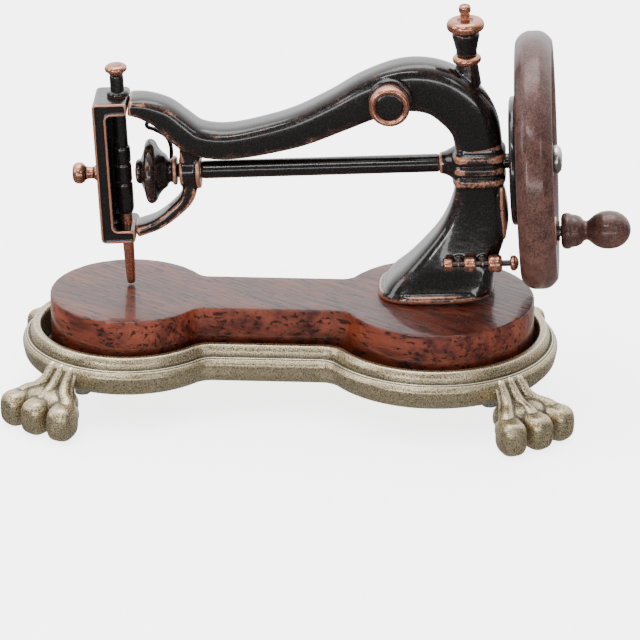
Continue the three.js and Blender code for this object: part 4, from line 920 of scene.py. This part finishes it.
DISC_X = -36.4
HOOK_RADIUS, HOOK_BALL = 0.27, 0.46
HOOK = [(0.8, 2.2, 6.7), (-0.5, 2.6, 5.3), (0.5, 3.1, 4.5), (2.0, 4.2, 2.7), (2.2, 4.6, -0.3),
        (1.8, 4.2, -3.0), (0.2, 3.7, -4.35)]  # from the disc's middle on the shaft
path = bpy.data.curves.new("hook_path", "CURVE")
path.dimensions = "3D"
line = path.splines.new("POLY")
line.points.add(len(HOOK) - 1)
for point, (x, y, z) in zip(line.points, HOOK):
    point.co = (DISC_X + x, y, SHAFT_Z + z, 1)
end_x, end_y, end_z = HOOK[-1]
tip = closed_mesh(*ball((DISC_X + end_x, end_y, SHAFT_Z + end_z), [HOOK_BALL] * 3))
hook_mesh = joined(cooked(path, tree, Thickness=HOOK_RADIUS), tip)
piece("thread_hook_wire", "base_and_head", HEAD, hook_mesh, "blackened_casting", "thread_hook")

# %% [markdown]
# ## Finishes
# A finish is a tree of shader nodes. `Wire` wraps a socket, so that arithmetic on wires reads
# like arithmetic on numbers and adds its Math nodes by itself. `Finish` adds any other node.

# %% Shader maths in Python
class Wire:
    """A shader socket that can be used like a number."""

    def __init__(self, finish, socket):
        self.finish = finish
        self.socket = socket

    def _math(self, operation, a, b, clamp=False):
        settings = {"operation": operation, "use_clamp": clamp}
        return self.finish.node("ShaderNodeMath", settings, {0: a, 1: b})

    def __add__(self, other):
        return self._math("ADD", self, other)

    def __sub__(self, other):
        return self._math("SUBTRACT", self, other)

    def __mul__(self, other):
        return self._math("MULTIPLY", self, other)

    def __rsub__(self, other):
        return self._math("SUBTRACT", other, self)

    __radd__ = __add__
    __rmul__ = __mul__

    def clamped(self):
        """Held between 0 and 1."""
        return self._math("ADD", self, 0.0, clamp=True)

    def band(self, low, high):
        """0 below low, 1 above high, smooth between."""
        return self.finish.node("ShaderNodeMapRange", {"interpolation_type": "SMOOTHSTEP"}, {
            "Value": self, "From Min": low, "From Max": high})


class Finish:
    """One material with a Principled shader, built node by node."""

    def __init__(self, slot_name, **constants):
        self.material = bpy.data.materials.new(slot_name + "_finish")
        self.material.use_nodes = True
        self.tree = self.material.node_tree
        self.shader = self.tree.nodes["Principled BSDF"]
        for label, value in constants.items():
            self.shader.inputs[label.replace("_", " ")].default_value = value
        self.place = self.node("ShaderNodeTexCoord", out="Object")
        FINISHES[slot_name] = self.material

    def node(self, kind, settings=None, sockets=None, out=0):
        """One node: settings first, then socket values or wires."""
        made = self.tree.nodes.new(kind)
        for key, value in (settings or {}).items():
            setattr(made, key, value)
        for label, value in (sockets or {}).items():
            if isinstance(value, Wire):
                self.tree.links.new(value.socket, made.inputs[label])
            else:
                made.inputs[label].default_value = value
        return Wire(self, made.outputs[out])

    def noise(self, size_mm, detail=3, roughness=0.55, at=None, distortion=0.0):
        """Soft noise whose patches are about size_mm across."""
        return self.node("ShaderNodeTexNoise", {"noise_dimensions": "3D"}, {
            "Vector": at or self.place, "Scale": 1000 / size_mm, "Detail": detail,
            "Roughness": roughness, "Distortion": distortion})

    def mix(self, share, a, b):
        """Between two colours."""
        return self.node("ShaderNodeMix", {"data_type": "RGBA"}, {0: share, 6: a, 7: b}, out=2)

    def stretched(self, stretch, turn=0.0):
        """Object coordinates turned about the vertical, then stretched along each axis."""
        return self.node("ShaderNodeMapping", {"vector_type": "TEXTURE"}, {
            "Vector": self.place, "Scale": stretch, "Rotation": (0, 0, turn)})

    def bend(self):
        """How sharply the surface bends, from the piece's own attribute."""
        return self.node("ShaderNodeAttribute", {"attribute_name": "bend"}, out="Fac")

    def set(self, **links):
        """Wires into the shader's sockets."""
        for label, wire in links.items():
            self.tree.links.new(wire.socket, self.shader.inputs[label.replace("_", " ")])
        print(self.material.name + ":", len(self.tree.nodes), "nodes drive", sorted(links))

    def bump(self, height, depth_mm):
        """A bump of a given depth into the shader's normal."""
        normal = self.node("ShaderNodeBump", None, {
            "Height": height, "Distance": depth_mm * MM, "Strength": 1.0})
        self.tree.links.new(normal.socket, self.shader.inputs["Normal"])


FINISHES = {}
BLACK = (0.0035, 0.0026, 0.0024, 1)
COPPER = (0.52, 0.225, 0.145, 1)
DARK_COPPER = (0.13, 0.05, 0.032, 1)
print("black, copper and dark copper:", BLACK[:3], COPPER[:3], DARK_COPPER[:3])

# %% [markdown]
# ## Blackened casting
# Copper plate is blackened in a bath, then the raised edges are rubbed bright and the whole is
# lacquered. So the black stays on flats and in hollows, and copper shows where the surface
# bends outwards and a hand or a cloth wears it. The noise breaks the rubbed line up.

# %% Blackened casting
black = Finish("blackened_casting", Coat_Weight=0.7, Coat_Roughness=0.07,
               Specular_IOR_Level=0.3)
wander = black.noise(2.2, detail=4)
speck = black.noise(0.35, detail=3)
rubbed = (black.bend() + (wander - 0.5) * 1.6 + (speck - 0.5) * 0.9).band(0.5, 1.15)
# A brown tint on gently outward bends: partly thin wear of the black, partly a painted copper sheen.
brown_wear_and_sheen = (black.bend() * 0.9 + (wander - 0.5) * 1.4 + (speck - 0.5) * 0.8).band(0.05, 0.7)
black_with_brown_sheen = black.mix(brown_wear_and_sheen * 0.7, BLACK, (0.040, 0.0175, 0.0125, 1))
black.set(Base_Color=black.mix(rubbed, black_with_brown_sheen, COPPER), Metallic=rubbed * 0.9,
          Roughness=speck * 0.22 + 0.14 + rubbed * 0.12)
black.bump(black.noise(0.55, detail=3) + black.noise(1.8, detail=2) * 0.8, 0.035)

# %% [markdown]
# ## Worn copper
# Knobs, beads and the needle are handled most, so their blackening is nearly gone. It is left
# only in hollows and thin stains, so this finish is copper with black laid in by the bend.

# %% Worn copper
worn = Finish("worn_copper", Coat_Weight=0.3, Coat_Roughness=0.12)
hollow = (worn.bend() * -0.6 + (worn.noise(1.4, detail=2) - 0.5) * 0.8).band(0.25, 0.8)
stain = worn.noise(1.6, detail=3).band(0.5, 0.75) * 0.4
copper = worn.mix(stain, COPPER, DARK_COPPER)
worn.set(Base_Color=worn.mix(hollow, copper, BLACK), Metallic=0.95 - hollow * 0.6,
         Roughness=worn.noise(0.4, detail=3) * 0.25 + 0.13)
worn.bump(worn.noise(0.6, detail=2), 0.015)

# %% [markdown]
# ## Mottled copper
# The rim and the grip are dull, cloudy copper-brown, as plate looks under an old bronze lacquer.
# One colour with clouds would look painted, so clouds and a fine grain are added up first.

# %% Mottled copper
mottled = Finish("mottled_copper", Coat_Weight=0.35, Coat_Roughness=0.15)
cloud = mottled.noise(1.6, detail=5, roughness=0.6)
grain = mottled.noise(0.2, detail=2, roughness=0.7)
patch = ((cloud - 0.5) * 0.8 + (grain - 0.5) * 1.4 + 0.5).band(0.25, 0.75)
bright = (mottled.bend() * 0.8 + (mottled.noise(1.6, detail=3) - 0.5) * 0.8).band(0.35, 0.95)
brown = mottled.mix(patch, (0.030, 0.0125, 0.0105, 1), (0.105, 0.045, 0.034, 1))
mottled.set(Base_Color=mottled.mix(bright * 0.6, brown, (0.27, 0.115, 0.075, 1)),
            Metallic=0.5 + bright * 0.35, Roughness=0.24 + grain * 0.24)
mottled.bump(grain * 1.3 + mottled.noise(0.9, detail=2) * 0.7, 0.025)

# %% [markdown]
# ## Antique brass
# The tray and its feet keep the sandy skin of the mould under a pale plate. A fine noise gives
# the sand in colour, roughness and bump alike, and dirt stays where the surface bends inwards.

# %% Antique brass
brass = Finish("antique_brass", Coat_Weight=0.1, Coat_Roughness=0.25)
sand = brass.noise(0.16, detail=2, roughness=0.7)
drift = brass.noise(4.0, detail=3)
dirt = (brass.bend() * -0.9 + (drift - 0.5) * 0.6).band(0.12, 0.75)
# Paler, near-white brass on outward bends such as the bead tops is a painted highlight.
painted_highlight = (brass.bend() * 0.8 + (sand - 0.5) * 0.8).band(0.3, 1.0)
yellow = brass.mix(sand.band(0.38, 0.62), (0.24, 0.19, 0.11, 1), (0.60, 0.50, 0.325, 1))
yellow = brass.mix(dirt * 0.85, yellow, (0.035, 0.026, 0.014, 1))
brass.set(Base_Color=brass.mix(painted_highlight * 0.8, yellow, (0.90, 0.80, 0.60, 1)),
          Metallic=0.92 - dirt * 0.4, Roughness=0.16 + sand * 0.24)
brass.bump(sand + brass.noise(0.7, detail=2) * 0.5, 0.028)

# %% [markdown]
# ## Lacquered mahogany
# The block is sawn from one board, so the grain runs one way right through it: long streaks on
# top, and the cut ends of the pores on the sides. A noise stretched along the grain's direction
# gives both at once, because it is worked out in the solid and not painted on its surface.

# %% Red lacquered wood
GRAIN_TURN = math.radians(-36)  # in plan, from the length towards the front
wood = Finish("red_lacquered_wood", Coat_Weight=0.42, Coat_Roughness=0.07, Roughness=0.4,
              Specular_IOR_Level=0.2)
streak = wood.noise(0.9, detail=4, at=wood.stretched((9, 1, 1.4), GRAIN_TURN), distortion=0.4)
figure = wood.noise(3.5, detail=3, at=wood.stretched((4, 1, 1), GRAIN_TURN))
dashes = wood.noise(0.5, detail=2, at=wood.stretched((5.5, 1, 1), GRAIN_TURN))
long_pores = wood.noise(0.3, detail=1, at=wood.stretched((14, 1, 1), GRAIN_TURN))
tone = wood.mix(streak.band(0.32, 0.68), (0.026, 0.0034, 0.0016, 1), (0.092, 0.0145, 0.0054, 1))
tone = wood.mix(figure.band(0.4, 0.68) * 0.55, tone, (0.16, 0.031, 0.011, 1))
pores = (dashes.band(0.585, 0.645) + long_pores.band(0.66, 0.74) * 0.7).clamped()
tone = wood.mix(pores * 0.9, tone, (0.008, 0.002, 0.0015, 1))
wood.set(Base_Color=tone)
ripples = wood.noise(0.7, detail=3, at=wood.stretched((7, 1, 1), GRAIN_TURN))
wood.bump(ripples - pores * 0.8, 0.14)

# %% [markdown]
# ## Nickel
# The hub's screw and its washer are plated steel: bright, with fine scratches and grime in the
# cross. A noise that is stretched along one axis makes the scratches.

# %% Nickel
nickel = Finish("nickel_screw", Metallic=1.0)
scratch = nickel.noise(0.5, detail=4, at=nickel.stretched((1, 1, 5)))
grime = (nickel.bend() * -0.8 + (nickel.noise(0.8) - 0.5)).band(0.1, 0.6)
silver = nickel.mix(scratch.band(0.35, 0.7), (0.52, 0.50, 0.46, 1), (0.78, 0.76, 0.72, 1))
nickel.set(Base_Color=nickel.mix(grime * 0.7, silver, (0.09, 0.08, 0.07, 1)),
           Roughness=0.16 + scratch * 0.25)

# %% [markdown]
# ## Painting
# Each piece is painted by its slot. The screws, bushings and other small nodes that the frame
# brings along get the finish that its record names for them.

# %% Paint the pieces and the frame's own nodes
for thing in PIECES.values():
    thing.data.materials.clear()
    thing.data.materials.append(FINISHES[thing["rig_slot"]])
for row in frame["record"]["subparts"]:
    shown = frame["nodes"][row["node"]]
    for place in shown.material_slots:
        place.material = FINISHES[row["material_slot"]]
print("painted", len(PIECES), "pieces")

# %% [markdown]
# ## Floor, light and camera
# The floor is white and gives a little light of its own, as a lit paper sweep does. A broad
# light from above and behind lays a grey sheen on tops, and the dim side towards the viewer
# keeps the lacquer black. The lens is long, so the machine keeps its shape.

# %% Floor
FLOOR_HALF = 4.0  # metres
FLOOR_GLOW = 3.4
floor_mesh = bpy.data.meshes.new("floor")
floor_corners = [(x * FLOOR_HALF, y * FLOOR_HALF, 0) for x, y in ((-1, -1), (1, -1), (1, 1), (-1, 1))]
floor_mesh.from_pydata(floor_corners, [], [(0, 1, 2, 3)])
floor = in_scene("floor", floor_mesh)
paper = Finish("floor_paper", Roughness=0.9, Specular_IOR_Level=0.05)
paper.set(Base_Color=paper.mix(paper.noise(400.0, detail=1), (0.90, 0.90, 0.90, 1),
                               (0.94, 0.94, 0.94, 1)))
paper.shader.inputs["Emission Color"].default_value = (1, 1, 1, 1)
paper.shader.inputs["Emission Strength"].default_value = FLOOR_GLOW
floor_mesh.materials.append(paper.material)
floor.visible_glossy = False  # dark lacquer then mirrors the dim side of the studio
print("floor glow", FLOOR_GLOW)

# %% World
BACK_SHARE = 0.9  # how much of the light comes from behind rather than from above
DIM_SIDE, BRIGHT_SIDE = 0.16, 2.5
world = bpy.data.worlds.new("studio")
bpy.context.scene.world = world
world.use_nodes = True
sky = world.node_tree
background = sky.nodes["Background"]
look = add_node(sky, "ShaderNodeTexCoord")
ways = add_node(sky, "ShaderNodeSeparateXYZ", Vector=look.outputs["Generated"])
lift = add_node(sky, "ShaderNodeMath", {"operation": "MULTIPLY_ADD"})
lift.inputs[1].default_value = BACK_SHARE
sky.links.new(ways.outputs["Y"], lift.inputs[0])
sky.links.new(ways.outputs["Z"], lift.inputs[2])
glow = add_node(sky, "ShaderNodeMapRange", {"interpolation_type": "SMOOTHSTEP"},
                Value=lift.outputs[0], From_Min=0.0, From_Max=1.25, To_Min=DIM_SIDE,
                To_Max=BRIGHT_SIDE)
sky.links.new(glow.outputs["Result"], background.inputs["Strength"])
background.inputs["Color"].default_value = (1.0, 1.0, 1.0, 1)
print("world strength from", DIM_SIDE, "to", BRIGHT_SIDE)

# %% Lights
middle = (cad_box[0] + cad_box[1]) / 2


def soft_light(name, at, size, watts):
    """An area light that faces the machine."""
    lamp = bpy.data.lights.new(name, "AREA")
    lamp.shape = "RECTANGLE"
    lamp.size, lamp.size_y = size
    lamp.energy = watts
    thing = in_scene(name, lamp)
    thing.location = at
    thing.rotation_euler = (middle - Vector(at)).to_track_quat("-Z", "Y").to_euler()
    print(name, watts, "W")


soft_light("overhead", (-0.05, 0.10, 0.55), (0.5, 0.3), 2.2)
soft_light("left_window", (-0.50, -0.15, 0.28), (0.22, 0.3), 0.9)
soft_light("front_fill", (0.35, -0.55, 0.40), (0.15, 0.2), 0.5)
soft_light("front_strip", (-0.16, -0.42, 0.50), (0.30, 0.05), 0.9)
soft_light("low_strip", (-0.30, -0.55, 0.10), (0.06, 0.22), 0.8)
soft_light("floor_bounce", (0.05, -0.40, 0.03), (0.5, 0.04), 0.5)

# %% Camera
AZIMUTH, ELEVATION = math.radians(3), math.radians(24)
DISTANCE = 0.65
SENSOR = 36.0
VIEW_WIDTH = 0.0832  # metres across the view at the target
TO_THE_RIGHT, DOWN = 0.02496, 0.0039  # metres from the left lobe's middle to the view's middle
look_right = Vector((math.cos(AZIMUTH), math.sin(AZIMUTH), 0))
look_from = Vector((math.sin(AZIMUTH) * math.cos(ELEVATION),
                    -math.cos(AZIMUTH) * math.cos(ELEVATION), math.sin(ELEVATION)))
look_up = look_from.cross(look_right)
left_lobe = Vector((BASE.translation.x + LOBES["left"][0] * MM, BASE.translation.y, WOOD_TOP * MM))
target = left_lobe + look_right * TO_THE_RIGHT - look_up * DOWN
camera_data = bpy.data.cameras.new("camera")
camera_data.sensor_width = SENSOR
camera_data.lens = SENSOR * DISTANCE / VIEW_WIDTH
camera_data.clip_start = 0.01
camera_data.clip_end = 20
camera = in_scene("camera", camera_data)
camera.matrix_world = Matrix.Translation(target + look_from * DISTANCE) @ Matrix(
    [[*row, 0] for row in zip(look_right, look_up, look_from)] + [[0, 0, 0, 1]])
bpy.context.scene.camera = camera
print("lens", round(camera_data.lens, 1), "mm")
